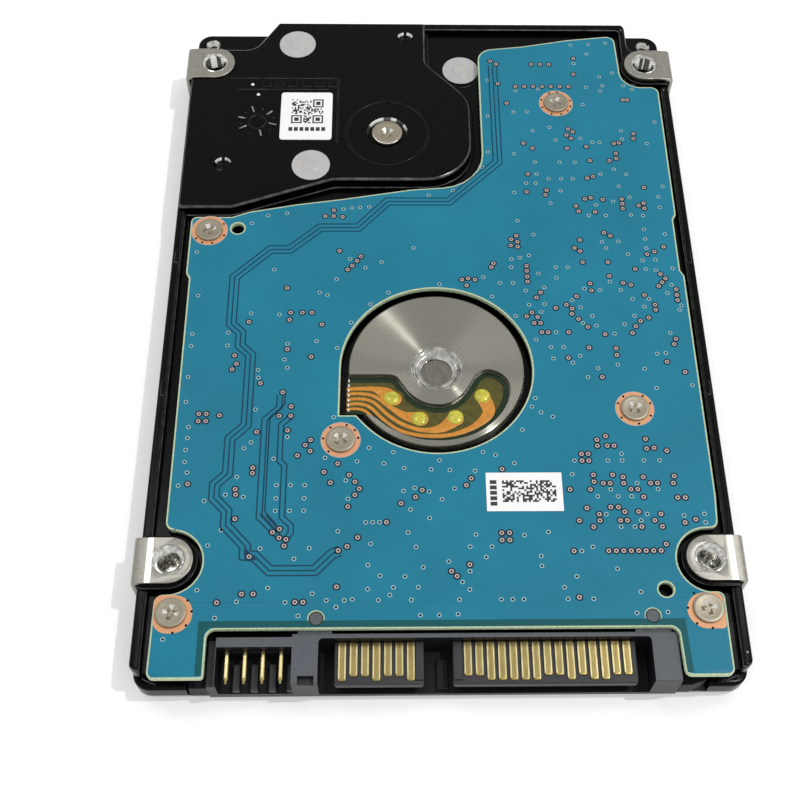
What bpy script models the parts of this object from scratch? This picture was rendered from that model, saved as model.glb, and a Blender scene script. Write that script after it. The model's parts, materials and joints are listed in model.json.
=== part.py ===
"""A 2.5-inch hard disk drive, 7 mm high, lying on its cover with the circuit board up.

Shapes are written in millimetres and scaled to metres when an object is made.
+X is to the right with the connector towards the viewer, +Y points to the far end,
+Z points up out of the circuit board. The origin is under the middle of the cover.
"""

import math

import bmesh
import bpy
from mathutils import Matrix, Vector

MM = 0.001

# Overall size of the form factor
HALF_WIDTH = 69.85 / 2
REAR = 50.0
FRONT = -50.0
DATUM = 7.0

# Heights of the main surfaces
COVER_TOP = 0.5
GASKET_LOW, GASKET_HIGH = 0.55, 0.75
BASE_LOW = 0.8
LEDGE_TOP = 3.2
CAVITY_ROOF = 4.5
FLOOR_TOP = 5.1
BOSS_TOP = 5.8
BOARD_LOW, BOARD_HIGH = 5.9, 6.55
RAIL_TOP = 6.0
PLATEAU_TOP = 6.75
POCKET_ROOF = 6.05
SEAT_TOP = 6.4
SHEET = 0.5

# Base casting in plan
BASE_HALF = 34.35
BASE_FRONT = -49.8
RAIL_INNER = 33.0
WELL_BACK = -44.25

# Spindle, disk and actuator
SPINDLE = (0.0, -10.3)
PIVOT = (-6.2, 27.8)
DISK_RADIUS = 32.5
WELL_RADIUS = 33.25
DISK_LOW, DISK_HIGH = 2.1, 2.9
PARK_ANGLE = -24.7
HEAD_REACH = 33.0

# Fasteners
MOUNT_X = 30.86
MOUNT_FRONT, MOUNT_REAR = -36.0, 40.6
MOUNT_HOLE = 1.25
TONGUE = 2.8
SEAT_MARGIN = 0.45
COVER_SHANK = 0.9
COVER_HOLE = 1.02
COVER_SCREWS = [(-32.1, -47.9), (32.1, -47.9), (-32.1, 47.9), (32.1, 47.9)]
BOARD_SCREWS = [
    (-29.6, 10.8),
    (17.7, 33.4),
    (24.1, -16.3),
    (-11.7, -20.5),
    (-30.1, -42.2),
    (29.9, -42.0),
]

# Connector
CONTACT_PITCH = 1.27
SIGNAL_FIRST = -11.1
POWER_FIRST = SIGNAL_FIRST + 6 * CONTACT_PITCH + 6.35
CONTACT_WIDTH = 0.9
TONGUE_LOW, TONGUE_TOP = 3.1, 4.25
CONTACT_LOW, CONTACT_TOP = 4.3, 4.45
CONTACT_BACK = -44.6
BAR_FRONT = -44.95
JUMPER_FIRST, JUMPER_PITCH = -23.85, 2.0
JUMPER_X = [JUMPER_FIRST + JUMPER_PITCH * i for i in range(4)]
PEGS = [(-14.0, -42.9), (23.6, -42.8)]

SEALS = [(-19.2, 44.4, PLATEAU_TOP), (-16.6, 21.8, PLATEAU_TOP), (4.4, 41.0, FLOOR_TOP)]
DIMPLES = [(-28.6, 22.0), (-3.6, 45.8)]


# ---------------------------------------------------------------- outlines

def polar(centre, radius, degrees):
    angle = math.radians(degrees)
    return (centre[0] + radius * math.cos(angle), centre[1] + radius * math.sin(angle))


def arc(centre, radius, start, end, count):
    step = (end - start) / count
    return [polar(centre, radius, start + step * i) for i in range(count + 1)]


def circle(centre, radius, count=16):
    return arc(centre, radius, 0, 360, count)[:-1]


def rounded(corners, per_quarter=3):
    """A closed outline; a corner written (x, y, r) is rounded to radius r."""
    points = []
    for i, corner in enumerate(corners):
        here = Vector(corner[:2])
        radius = corner[2] if len(corner) > 2 else 0.0
        back = Vector(corners[i - 1][:2]) - here
        ahead = Vector(corners[(i + 1) % len(corners)][:2]) - here
        turn = back.angle(ahead)
        if radius == 0.0 or abs(turn - math.pi) < 0.01:
            points.append(tuple(here))
            continue
        run = radius / math.tan(turn / 2)
        start = here + back.normalized() * run
        end = here + ahead.normalized() * run
        middle = here + (back.normalized() + ahead.normalized()).normalized() * radius / math.sin(turn / 2)
        count = max(1, round(per_quarter * (math.pi - turn) / (math.pi / 2)))
        sweep = (start - middle).angle_signed(end - middle)
        first = start - middle
        for k in range(count + 1):
            spun = first.copy()
            spun.rotate(Matrix.Rotation(-sweep * k / count, 2))
            points.append(tuple(middle + spun))
    return points


def box(x0, x1, y0, y1):
    return [(x0, y0), (x1, y0), (x1, y1), (x0, y1)]


def sector(centre, inner, outer, start, end, count=10):
    return arc(centre, inner, start, end, count) + arc(centre, outer, end, start, count)


def mirrored(outline):
    return [(-x, y) for x, y in outline]


def along_arm(points):
    """Points given along and across the parked actuator arm, put in plan."""
    spin = Matrix.Rotation(math.radians(PARK_ANGLE), 2)
    placed = []
    for point in points:
        spot = spin @ Vector(point[:2])
        placed.append((PIVOT[0] + spot.x, PIVOT[1] + spot.y, *point[2:]))
    return placed


# ------------------------------------------------------------------ solids

def faced_out(mesh):
    """The closed mesh with every face pointing outwards."""
    bmesh.ops.recalc_face_normals(mesh, faces=mesh.faces[:])
    if mesh.calc_volume(signed=True) < 0:
        bmesh.ops.reverse_faces(mesh, faces=mesh.faces[:])
    return mesh


def prism(outline, low, high, holes=()):
    """A flat solid between two heights, with its holes open right through."""
    mesh = bmesh.new()
    for loop in (outline, *holes):
        verts = [mesh.verts.new((x, y, low)) for x, y in loop]
        for a, b in zip(verts, verts[1:] + verts[:1]):
            mesh.edges.new((a, b))
    bmesh.ops.triangle_fill(mesh, use_beauty=True, edges=mesh.edges[:])
    lifted = bmesh.ops.extrude_face_region(mesh, geom=mesh.faces[:])["geom"]
    top = [item for item in lifted if isinstance(item, bmesh.types.BMVert)]
    bmesh.ops.translate(mesh, verts=top, vec=(0, 0, high - low))
    return faced_out(mesh)


def lathe(profile, centre=(0.0, 0.0), count=20):
    """A turned solid; the profile's (radius, height) points close on themselves or on the axis."""
    mesh = bmesh.new()
    rings = []
    for radius, height in profile:
        if radius == 0.0:
            rings.append([mesh.verts.new((centre[0], centre[1], height))])
        else:
            rings.append([mesh.verts.new((x, y, height)) for x, y in circle(centre, radius, count)])
    on_axis = profile[0][0] == 0.0
    pairs = list(zip(rings, rings[1:])) if on_axis else list(zip(rings, rings[1:] + rings[:1]))
    for lower, upper in pairs:
        for i in range(count):
            near = [ring[i % len(ring)] for ring in (lower, upper)]
            far = [ring[(i + 1) % len(ring)] for ring in (upper, lower)]
            mesh.faces.new(list(dict.fromkeys(near + far)))
    return faced_out(mesh)


def across(profile, x0, x1):
    """A prism whose outline is (y, z), running along X."""
    mesh = prism(profile, x0, x1)
    mesh.transform(Matrix(((0, 0, 1, 0), (1, 0, 0, 0), (0, 1, 0, 0), (0, 0, 0, 1))))
    return faced_out(mesh)


def finish(name, colour, roughness, metallic):
    material = bpy.data.materials.new(name)
    material.use_nodes = True
    shader = material.node_tree.nodes["Principled BSDF"]
    shader.inputs["Base Color"].default_value = (*colour, 1.0)
    shader.inputs["Roughness"].default_value = roughness
    shader.inputs["Metallic"].default_value = metallic
    return material


def place(name, mesh, origin):
    """An object whose own origin is at the given point, in millimetres."""
    mesh.transform(Matrix.Translation((-origin[0], -origin[1], -origin[2])))
    mesh.transform(Matrix.Scale(MM, 4))
    data = bpy.data.meshes.new(name)
    mesh.to_mesh(data)
    mesh.free()
    data.shade_smooth()
    data.set_sharp_from_angle(angle=math.radians(30))
    thing = bpy.data.objects.new(name, data)
    thing.location = Vector(origin) * MM
    bpy.context.scene.collection.objects.link(thing)
    return thing


def part(name, mesh, colour, roughness=0.5, metallic=0.0, origin=(0.0, 0.0, 0.0)):
    thing = place(name, mesh, origin)
    thing.data.materials.append(finish(name, colour, roughness, metallic))
    return thing


def shape(target, operation, tool):
    """Join the tool mesh to the target, or cut it out, with a live Boolean."""
    count = len(target.modifiers)
    helper = place(f"{target.name}_tool_{count}", tool, tuple(target.location / MM))
    helper.hide_render = True
    helper.display_type = "WIRE"
    modifier = target.modifiers.new(f"{operation.lower()}_{count}", "BOOLEAN")
    modifier.operation = operation
    modifier.solver = "EXACT"
    modifier.object = helper


def add(target, *tools):
    for tool in tools:
        shape(target, "UNION", tool)


def cut(target, *tools):
    for tool in tools:
        shape(target, "DIFFERENCE", tool)


# ------------------------------------------------------------ base casting

def well_outline(grow=0.0):
    """The inside of the base: the round disk well and the actuator bay behind it."""
    radius = WELL_RADIUS + grow
    well = arc(SPINDLE, radius, 7.0, -228.5, 44)
    bay = rounded([
        well[-1],
        (-28.0, 17.3 - grow, 2.0),
        (-32.8 - grow, 20.0 - grow, 1.0),
        (-32.8 - grow, 36.0 + grow, 1.0),
        (-27.0 - grow, 37.4 + grow, 1.0),
        (-27.0 - grow, 41.5 + grow, 1.0),
        (-21.0 - grow, 46.5 + grow, 1.0),
        (-20.5 - grow, 48.6 + grow, 0.8),
        (27.4 + grow, 48.6 + grow, 1.0),
        (27.4 + grow, 36.0 + grow, 1.0),
        (33.0 + grow, 36.0 + grow, 1.0),
        well[0],
    ], per_quarter=2)
    return well + bay[1:-1]


def plateau_outline():
    return rounded([
        (-34.2, 14.6, 0.8),
        (-27.0, 14.6, 3.0),
        (-13.5, 19.4, 3.0),
        (5.5, 19.4, 6.5),
        (5.5, 34.0, 5.0),
        (-0.7, 41.0, 2.0),
        (-0.7, 49.85),
        (-21.6, 49.85, 0.6),
        (-25.35, 43.6, 2.5),
        (-34.2, 43.6),
    ])


def pocket_outline():
    """The deeper room under the plateau, for the voice-coil motor."""
    return rounded([
        (-32.6, 20.3, 0.8),
        (-27.5, 18.0, 1.0),
        (-13.0, 21.6, 1.0),
        (0.5, 21.6, 3.0),
        (3.8, 25.0, 1.0),
        (3.8, 33.0, 2.0),
        (-2.2, 39.8, 1.0),
        (-2.2, 48.2, 0.8),
        (-20.4, 48.2, 0.8),
        (-26.4, 41.0, 1.0),
        (-27.0, 35.8, 1.0),
        (-32.6, 35.8, 0.8),
    ], per_quarter=2)


def tongue_outline(side, centre_y, grow=0.0, outer=HALF_WIDTH):
    """A mounting clip's flat tongue: square at the drive's side, round at its inner end."""
    half = TONGUE + grow
    tip = arc((MOUNT_X, centre_y), half, 270, 90, 8)
    outline = rounded([(outer, centre_y + half, 0.6), (outer, centre_y - half, 0.6)] + tip, 2)
    return outline if side > 0 else mirrored(outline)


def base_deck():
    low = rounded([
        (-BASE_HALF, BASE_FRONT, 2),
        (BASE_HALF, BASE_FRONT, 2),
        (BASE_HALF, REAR, 2),
        (-BASE_HALF, REAR, 2),
    ])
    high = rounded([
        (-34.3, -48.6, 1.0),
        (34.3, -48.6, 1.0),
        (34.3, 43.8, 0.4),
        (29.0, 43.8, 2.0),
        (29.0, 49.95, 0.6),
        (-21.8, 49.95, 0.6),
        (-25.5, 43.8, 2.5),
        (-34.3, 43.8, 0.4),
    ])
    deck = part("base_deck", prism(low, BASE_LOW, LEDGE_TOP), (0.012, 0.012, 0.014), 0.25)
    add(deck, prism(high, BASE_LOW + 0.1, RAIL_TOP))
    cut(deck, prism(box(-RAIL_INNER, RAIL_INNER, -52, 37.5), FLOOR_TOP, 8))
    cut(deck, prism(box(-RAIL_INNER, 28.0, 37.0, 48.4), FLOOR_TOP, 8))
    add(deck, prism(plateau_outline(), FLOOR_TOP - 0.2, PLATEAU_TOP))
    for side in (-1, 1):
        for y in (MOUNT_FRONT, MOUNT_REAR):
            pad = tongue_outline(side, y, SEAT_MARGIN, BASE_HALF - 0.1)
            add(deck, prism(pad, FLOOR_TOP - 0.25, SEAT_TOP))
    for spot in BOARD_SCREWS:
        add(deck, prism(circle(spot, 2.1, 12), FLOOR_TOP - 0.1, BOSS_TOP))
    cut(deck, prism(well_outline(), 0, CAVITY_ROOF))
    cut(deck, prism(pocket_outline(), CAVITY_ROOF - 0.2, POCKET_ROOF))
    add(deck, prism(circle(PIVOT, 3.2), 5.2, POCKET_ROOF + 0.1))
    cut_base_holes(deck)
    cut(deck, prism(box(-26.6, 26.8, -52, WELL_BACK), 0, 8))
    cut(deck, prism(box(-28.3, 29.8, -52, -48.1), 0, 3.9))
    cut(deck, across([(48.55, 6.9), (50.2, 5.25), (50.2, 6.9)], -30, 32))
    return deck


def cut_base_holes(deck):
    motor_hole = prism(circle(SPINDLE, 11.03, 40), 4, 8)
    pivot_hole = lathe([(0, 5), (0.9, 5), (0.9, 6.3), (2.8, 6.3), (2.8, 8), (0, 8)], PIVOT)
    cable_hole = prism(box(9.5, 20.3, 35.95, 42.1), 4, 6)
    cut(deck, motor_hole, pivot_hole, cable_hole)
    for spot in COVER_SCREWS:
        reach = LEDGE_TOP + 0.5 if spot[1] > 0 else LEDGE_TOP
        cut(deck, prism(circle(spot, COVER_HOLE, 12), 0, reach))
    for spot in BOARD_SCREWS:
        cut(deck, prism(circle(spot, 0.75, 10), 4.75, 7))
    for spot in DIMPLES:
        cut(deck, lathe([(0, 6.3), (0.6, 6.3), (1.25, 6.9), (0, 6.9)], spot, 12))
    for side in (-1, 1):
        for y in (MOUNT_FRONT, MOUNT_REAR):
            cut_mount_seat(deck, side, y)


def cut_mount_seat(deck, side, y):
    """Room in the base for one clip: its tongue, its threaded collar and both screws."""
    cut(deck, prism(tongue_outline(side, y, 0.15, 36), SEAT_TOP, 8))
    outer = sorted((side * 34.3, side * 36))
    cut(deck, prism(box(*outer, y - TONGUE - 0.15, y + TONGUE + 0.15), 1.6, 8))
    steps = [(0, 3.9), (1.6, 3.9), (1.6, 5.0), (2.15, 5.0), (2.15, 7), (0, 7)]
    cut(deck, lathe(steps, (side * MOUNT_X, y), 14))
    inner = sorted((side * 32.8, side * 35))
    hole = across(circle((y, 4.0), 1.6, 12), *inner)
    cut(deck, hole)


def top_cover():
    outline = rounded([(-34.3, -49.7, 2), (34.3, -49.7, 2), (34.3, 49.9, 2), (-34.3, 49.9, 2)])
    cover = part("top_cover", prism(outline, 0, COVER_TOP), (0.55, 0.56, 0.57), 0.35, 1.0)
    for spot in COVER_SCREWS:
        sink = [(0, -1), (1.6, -1), (1.6, 0.12), (COVER_HOLE, 0.5), (COVER_HOLE, 1), (0, 1)]
        cut(cover, lathe(sink, spot, 16))
    return cover


def cover_gasket():
    ring = prism(well_outline(0.6), GASKET_LOW, GASKET_HIGH, [well_outline(0.1)])
    return part("cover_gasket", ring, (0.02, 0.02, 0.02), 0.8)


def mounting_bracket(name, side, y):
    """A bent steel clip with one threaded hole for the base and one for the side."""
    hole = circle((side * MOUNT_X, y), MOUNT_HOLE, 16)
    low = DATUM - SHEET
    clip = part(name, prism(tongue_outline(side, y), low, DATUM), (0.6, 0.58, 0.55), 0.3, 1.0)
    leg_x = sorted((side * (HALF_WIDTH - SHEET), side * HALF_WIDTH))
    leg = rounded([
        (y - TONGUE, low + 0.2),
        (y - TONGUE, 2.0, 0.6),
        (y + TONGUE, 2.0, 0.6),
        (y + TONGUE, low + 0.2),
    ])
    add(clip, across(leg, *leg_x))
    add(clip, prism(circle((side * MOUNT_X, y), 2.0, 16), 5.15, low + 0.1))
    cut(clip, prism(hole, 4, 8))
    cut(clip, across(circle((y, 4.0), MOUNT_HOLE, 16), *sorted((side * 34, side * 36))))
    return clip


# ----------------------------------------------------------- circuit board

def board_outline():
    return rounded([
        (-32.2, -49.65, 0.8),
        (-26.0, -49.65, 0.4),
        (-26.0, -44.1, 1.0),
        (26.3, -44.1, 1.0),
        (26.5, -49.65, 0.8),
        (31.95, -49.65, 0.8),
        (32.0, -39.9, 1.2),
        (31.2, -39.9),
        *arc((30.95, -36.1), 3.9, 270, 90, 8),
        (32.3, -32.1, 0.9),
        (32.55, -28.0),
        (32.55, 3.6, 0.4),
        (32.1, 4.4, 0.4),
        (32.1, 12.8, 0.4),
        (32.55, 13.6, 0.4),
        (32.6, 36.6, 1.1),
        (30.0, 36.6),
        (27.4, 36.8, 2.8),
        (27.1, 46.7, 1.2),
        (20.0, 45.8),
        (13.5, 44.5),
        (6.9, 43.7, 2.2),
        (6.85, 18.6, 6.0),
        (-3.0, 17.8),
        (-12.0, 16.2),
        (-18.5, 15.2),
        (-24.5, 14.0),
        (-26.8, 13.1),
        (-32.15, 13.1, 0.8),
        (-32.15, 4.0, 0.4),
        (-31.7, 3.2, 0.4),
        (-31.6, -32.3, 1.0),
        *arc((-30.95, -36.1), 3.9, 90, -90, 8),
        (-32.1, -39.9, 1.0),
    ])


def motor_window():
    """The round hole over the motor, with a square corner at the left for its cable."""
    centre = (0.0, -10.35)
    return [(-11.95, -17.1), (-9.9, -17.1)] + arc(centre, 11.9, -142, 180, 40)[1:]


def circuit_board():
    holes = [motor_window()]
    holes += [circle(spot, 1.0, 12) for spot in BOARD_SCREWS]
    holes += [circle(spot, 0.85, 12) for spot in ((-25.9, 11.2), (25.4, -39.7))]
    holes += [circle(spot, 0.75, 12) for spot in PEGS]
    board = prism(board_outline(), BOARD_LOW, BOARD_HIGH, holes)
    return part("circuit_board", board, (0.015, 0.22, 0.36), 0.35)


def chips():
    dark = (0.02, 0.02, 0.022)
    low, high = 5.22, 5.78
    part("controller_chip", prism(box(5.5, 15.5, 3.0, 13.0), low, high), dark, 0.6)
    part("memory_chip", prism(box(-20.5, -12.5, -5.0, 5.0), low, high), dark, 0.6)
    part("motor_driver_chip", prism(box(12.0, 18.5, -27.5, -21.0), low, high), dark, 0.6)


def screw(name, spot, head_radius, head_low, head_high, shank_radius, tip):
    """A flat-headed screw driven down into the base from the board's side."""
    chamfer = 0.1
    profile = [
        (0, tip),
        (shank_radius, tip),
        (shank_radius, head_low),
        (head_radius, head_low),
        (head_radius, head_high - chamfer),
        (head_radius - chamfer, head_high),
        (0, head_high),
    ]
    return part(name, lathe(profile, spot, 16), (0.55, 0.52, 0.46), 0.35, 1.0)


def cover_screw(name, spot):
    """A countersunk screw driven up through the cover; its tip shows on a rear ledge."""
    tip = LEDGE_TOP + 0.2 if spot[1] > 0 else LEDGE_TOP - 0.1
    profile = [
        (0, tip),
        (COVER_SHANK, tip),
        (COVER_SHANK, 0.5),
        (1.45, 0.12),
        (1.45, 0.04),
        (0, 0.04),
    ]
    return part(name, lathe(profile, spot, 16), (0.55, 0.52, 0.46), 0.35, 1.0)


def screws():
    for i, spot in enumerate(BOARD_SCREWS, 1):
        screw(f"board_screw_{i}", spot, 1.75, BOARD_HIGH + 0.06, 6.93, 0.65, 4.85)
    for i, spot in enumerate(COVER_SCREWS, 1):
        cover_screw(f"cover_screw_{i}", spot)
    screw("pivot_screw", PIVOT, 2.1, 6.36, 6.74, 0.75, 4.1)


def labels():
    for i, (x, y, top) in enumerate(SEALS, 1):
        disc = lathe([(0, top + 0.05), (2.6, top + 0.05), (2.6, top + 0.15), (0, top + 0.15)], (x, y), 24)
        part(f"seal_sticker_{i}", disc, (0.75, 0.74, 0.74), 0.4)
    base = rounded([(-21.1, 26.3, 0.5), (-13.9, 26.3, 0.5), (-13.9, 35.0, 0.5), (-21.1, 35.0, 0.5)])
    part("base_label", prism(base, PLATEAU_TOP + 0.05, PLATEAU_TOP + 0.15), (0.85, 0.85, 0.85), 0.5)
    board = box(5.5, 14.5, -30.0, -25.0)
    part("board_label", prism(board, BOARD_HIGH + 0.05, BOARD_HIGH + 0.15), (0.85, 0.85, 0.85), 0.5)


# --------------------------------------------------------------- connector

def connector_housing():
    block = prism(box(-25.9, 26.3, FRONT, -44.4), BASE_LOW, 5.9)
    housing = part("connector_housing", block, (0.035, 0.035, 0.045), 0.45)
    cut(housing, prism(box(-24.9, -16.6, -52, -45.9), 2.0, 8))
    cut(housing, prism(box(-27, -16.6, -44.8, -44), 3.0, 8))
    cut(housing, prism(box(-27, -24.95, -52, -44), 4.7, 8))
    bay = rounded([(-13.7, -52), (23.3, -52), (23.3, BAR_FRONT, 0.5), (-13.7, BAR_FRONT, 0.5)])
    cut(housing, prism(bay, 1.6, 8))
    cut(housing, prism(box(-15.9, -14.1, -52, -49.2), 5.0, 8))
    for first, last in ((-12.0, -2.0), (1.15, 21.75)):
        corners = rounded([(first, -49.75, 0.4), (last, -49.75, 0.4), (last, -44.7), (first, -44.7)], 3)
        add(housing, prism(corners, TONGUE_LOW, TONGUE_TOP))
    add(housing, prism(box(-3.0, -2.05, -49.3, -44.8), TONGUE_TOP - 0.2, TONGUE_TOP + 0.25))
    add(housing, prism(box(1.2, 2.2, -49.3, -44.8), TONGUE_TOP - 0.2, TONGUE_TOP + 0.25))
    add(housing, prism(box(-0.6, 0.7, -49.6, -46.2), 1.4, 2.7))
    for x in JUMPER_X:
        add(housing, prism(box(x - 0.1, x + 0.75, -49.9, -47.1), 1.8, 3.0))
    cut(housing, prism(box(SIGNAL_FIRST - 0.6, -2.85, -45.5, -44.5), CONTACT_LOW - 0.05, CONTACT_TOP + 0.1))
    cut(housing, prism(box(POWER_FIRST - 0.6, 21.4, -45.5, -44.5), CONTACT_LOW - 0.05, CONTACT_TOP + 0.1))
    cut(housing, prism(box(-24.7, -17.0, -46.5, -45.3), 3.85, 4.65))
    add(housing, prism(box(-16.0, -12.2, -44.7, -42.0), 5.2, 5.8))
    add(housing, prism(box(21.6, 25.6, -44.7, -42.0), 5.2, 5.8))
    for peg in PEGS:
        add(housing, prism(circle(peg, 0.6, 12), 5.6, 6.5))
    add(housing, prism(box(-28.0, -25.7, -49.8, -48.3), 0.9, 3.5))
    wedge = [(26.1, -49.8), (27.8, -49.8), (29.5, -49.2), (29.5, -48.3), (26.1, -48.3)]
    add(housing, prism(wedge, 0.9, 3.5))
    return housing


def contact_comb(name, first, count, long_ones):
    """Gold strips lying on a connector tongue, joined by the rail they are stamped with."""
    tips = [-49.35 if i + 1 in long_ones else -48.85 for i in range(count)]
    low, high = CONTACT_LOW, CONTACT_TOP
    half = CONTACT_WIDTH / 2
    last = first + CONTACT_PITCH * (count - 1)
    outline = [(last + half, CONTACT_BACK), (first - half, CONTACT_BACK)]
    for i, tip in enumerate(tips):
        x = first + CONTACT_PITCH * i
        outline += [(x - half, tip), (x + half, tip)]
        if i < count - 1:
            outline += [(x + half, CONTACT_BACK - 0.25), (x + CONTACT_PITCH - half, CONTACT_BACK - 0.25)]
    return part(name, prism(outline, low, high), (0.85, 0.6, 0.25), 0.3, 1.0)


def jumper_pins():
    outline = [(JUMPER_X[-1] + 0.25, -45.45), (JUMPER_X[0] - 0.25, -45.45)]
    for x in JUMPER_X:
        outline += [(x - 0.25, -49.1), (x - 0.1, -49.5), (x + 0.1, -49.5), (x + 0.25, -49.1)]
        if x != JUMPER_X[-1]:
            outline += [(x + 0.25, -45.75), (x + JUMPER_PITCH - 0.25, -45.75)]
    return part("jumper_pins", prism(outline, 4.0, 4.5), (0.85, 0.65, 0.3), 0.3, 1.0)


# ------------------------------------------------------------ spindle motor

def motor_base():
    profile = [
        (3.0, 3.0),
        (3.8, 3.0),
        (3.8, 4.55),
        (10.93, 4.55),
        (10.93, 6.2),
        (3.1, 6.2),
        (1.95, 5.35),
        (1.95, 5.05),
        (3.0, 5.05),
    ]
    plate = part("motor_base", lathe(profile, SPINDLE, 40), (0.55, 0.54, 0.52), 0.3, 1.0)
    cut(plate, prism(flex_recess(0.0), 5.45, 8))
    return plate


def flex_recess(inset):
    """The kidney-shaped step in the motor plate that the motor's flexible cable lies in."""
    k = inset
    return rounded([
        (-13.5 if inset else -12.5, -11.1 - k),
        (-5.0, -11.1 - k, 0.8),
        (-3.2, -14.6 - k, 2.0),
        (0.0, -15.6 - k, 3.0),
        (3.2, -14.6 - k, 2.0),
        (5.3, -10.9 - k, 1.5),
        (9.0 - k, -11.9, 1.8),
        (8.6 - k, -16.6, 2.5),
        (4.6, -20.1 + k, 3.0),
        (-4.0, -20.1 + k, 3.0),
        (-8.4, -16.7 + k, 0.8),
        (-13.5 if inset else -12.5, -16.5 + k),
    ])


def motor_flex():
    return part("motor_flex", prism(flex_recess(0.15), 5.5, 5.6), (0.03, 0.07, 0.02), 0.35)


def bearing_sleeve():
    cap = [(0, 5.2), (1.85, 5.2), (1.85, 4.97), (2.9, 4.97)]
    bore = [(2.9, 2.5), (1.35, 2.5), (1.35, 4.7), (0, 4.7)]
    profile = cap + bore
    return part("bearing_sleeve", lathe(profile, SPINDLE), (0.45, 0.44, 0.42), 0.35, 1.0)


def stator_core():
    teeth = []
    for i in range(9):
        middle = 40 * i
        teeth += [
            polar(SPINDLE, 5.0, middle - 10),
            polar(SPINDLE, 7.4, middle - 6.5),
            polar(SPINDLE, 7.6, middle - 16),
            polar(SPINDLE, 8.35, middle - 15),
            polar(SPINDLE, 8.4, middle),
            polar(SPINDLE, 8.35, middle + 15),
            polar(SPINDLE, 7.6, middle + 16),
            polar(SPINDLE, 7.4, middle + 6.5),
            polar(SPINDLE, 5.0, middle + 10),
        ]
    core = prism(teeth, 3.2, 3.6, [circle(SPINDLE, 3.9, 18)])
    part("stator_core", core, (0.3, 0.3, 0.32), 0.5, 1.0)


def stator_windings():
    """Nine coils, each wound round a tooth, joined by the wire that runs from one to the next."""
    ring = prism(circle(SPINDLE, 5.4, 27), 3.75, 3.95, [circle(SPINDLE, 4.6, 27)])
    coils = part("stator_windings", ring, (0.7, 0.3, 0.12), 0.4, 1.0)
    for i in range(9):
        add(coils, prism(about_spindle(box(5.15, 7.2, -1.3, 1.3), 40 * i), 2.7, 4.1))
    for i in range(9):
        cut(coils, prism(about_spindle(box(4.5, 8.0, -1.0, 1.0), 40 * i), 3.1, 3.7))


def about_spindle(points, turn):
    spin = Matrix.Rotation(math.radians(turn), 2)
    spots = [spin @ Vector(point) for point in points]
    return [(SPINDLE[0] + spot.x, SPINDLE[1] + spot.y) for spot in spots]


def rotor():
    hub = [
        (1.35, 1.6),
        (9.9, 1.6),
        (9.9, 3.0),
        (12.2, 3.0),
        (12.2, 3.55),
        (10.4, 3.55),
        (10.4, 4.35),
        (9.4, 4.35),
        (9.4, 2.4),
        (1.35, 2.4),
    ]
    at = (*SPINDLE, 0.0)
    part("spindle_hub", lathe(hub, SPINDLE, 28), (0.6, 0.6, 0.6), 0.3, 1.0, at)
    magnet = lathe([(8.7, 2.75), (9.3, 2.75), (9.3, 4.25), (8.7, 4.25)], SPINDLE, 24)
    part("rotor_magnet", magnet, (0.25, 0.25, 0.27), 0.5, 0.6, at)
    shaft = lathe([(0, 4.6), (1.25, 4.6), (1.25, 1.55), (0.65, 1.55), (0.65, 3.0), (0, 3.0)], SPINDLE, 16)
    part("spindle_shaft", shaft, (0.6, 0.6, 0.6), 0.2, 1.0, at)
    disk = [(10.0, DISK_LOW), (DISK_RADIUS, DISK_LOW), (DISK_RADIUS, DISK_HIGH), (10.0, DISK_HIGH)]
    part("platter", lathe(disk, SPINDLE, 60), (0.7, 0.7, 0.72), 0.05, 1.0, at)
    clamp = [(0.8, 0.95), (11.6, 0.95), (11.6, 2.0), (10.3, 2.0), (10.3, 1.45), (0.8, 1.45)]
    part("platter_clamp", lathe(clamp, SPINDLE, 28), (0.6, 0.6, 0.6), 0.3, 1.0, at)
    stud = lathe([(0, 2.8), (0.58, 2.8), (0.58, 0.88), (2.0, 0.88), (2.0, 0.62), (0, 0.62)], SPINDLE, 16)
    part("clamp_screw", stud, (0.5, 0.5, 0.5), 0.3, 1.0, at)


# ---------------------------------------------------------------- actuator

def tail_polar(radius, degrees, *rounding):
    spot = polar(PIVOT, radius, PARK_ANGLE + 180 + degrees)
    return (*spot, *rounding)


def fan(inner, inner_angle, outer, outer_angle, rounding):
    return rounded([
        tail_polar(inner, -inner_angle, rounding),
        tail_polar(outer, -outer_angle, rounding),
        tail_polar(outer + 0.25, 0),
        tail_polar(outer, outer_angle, rounding),
        tail_polar(inner, inner_angle, rounding),
    ], 3)


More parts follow.
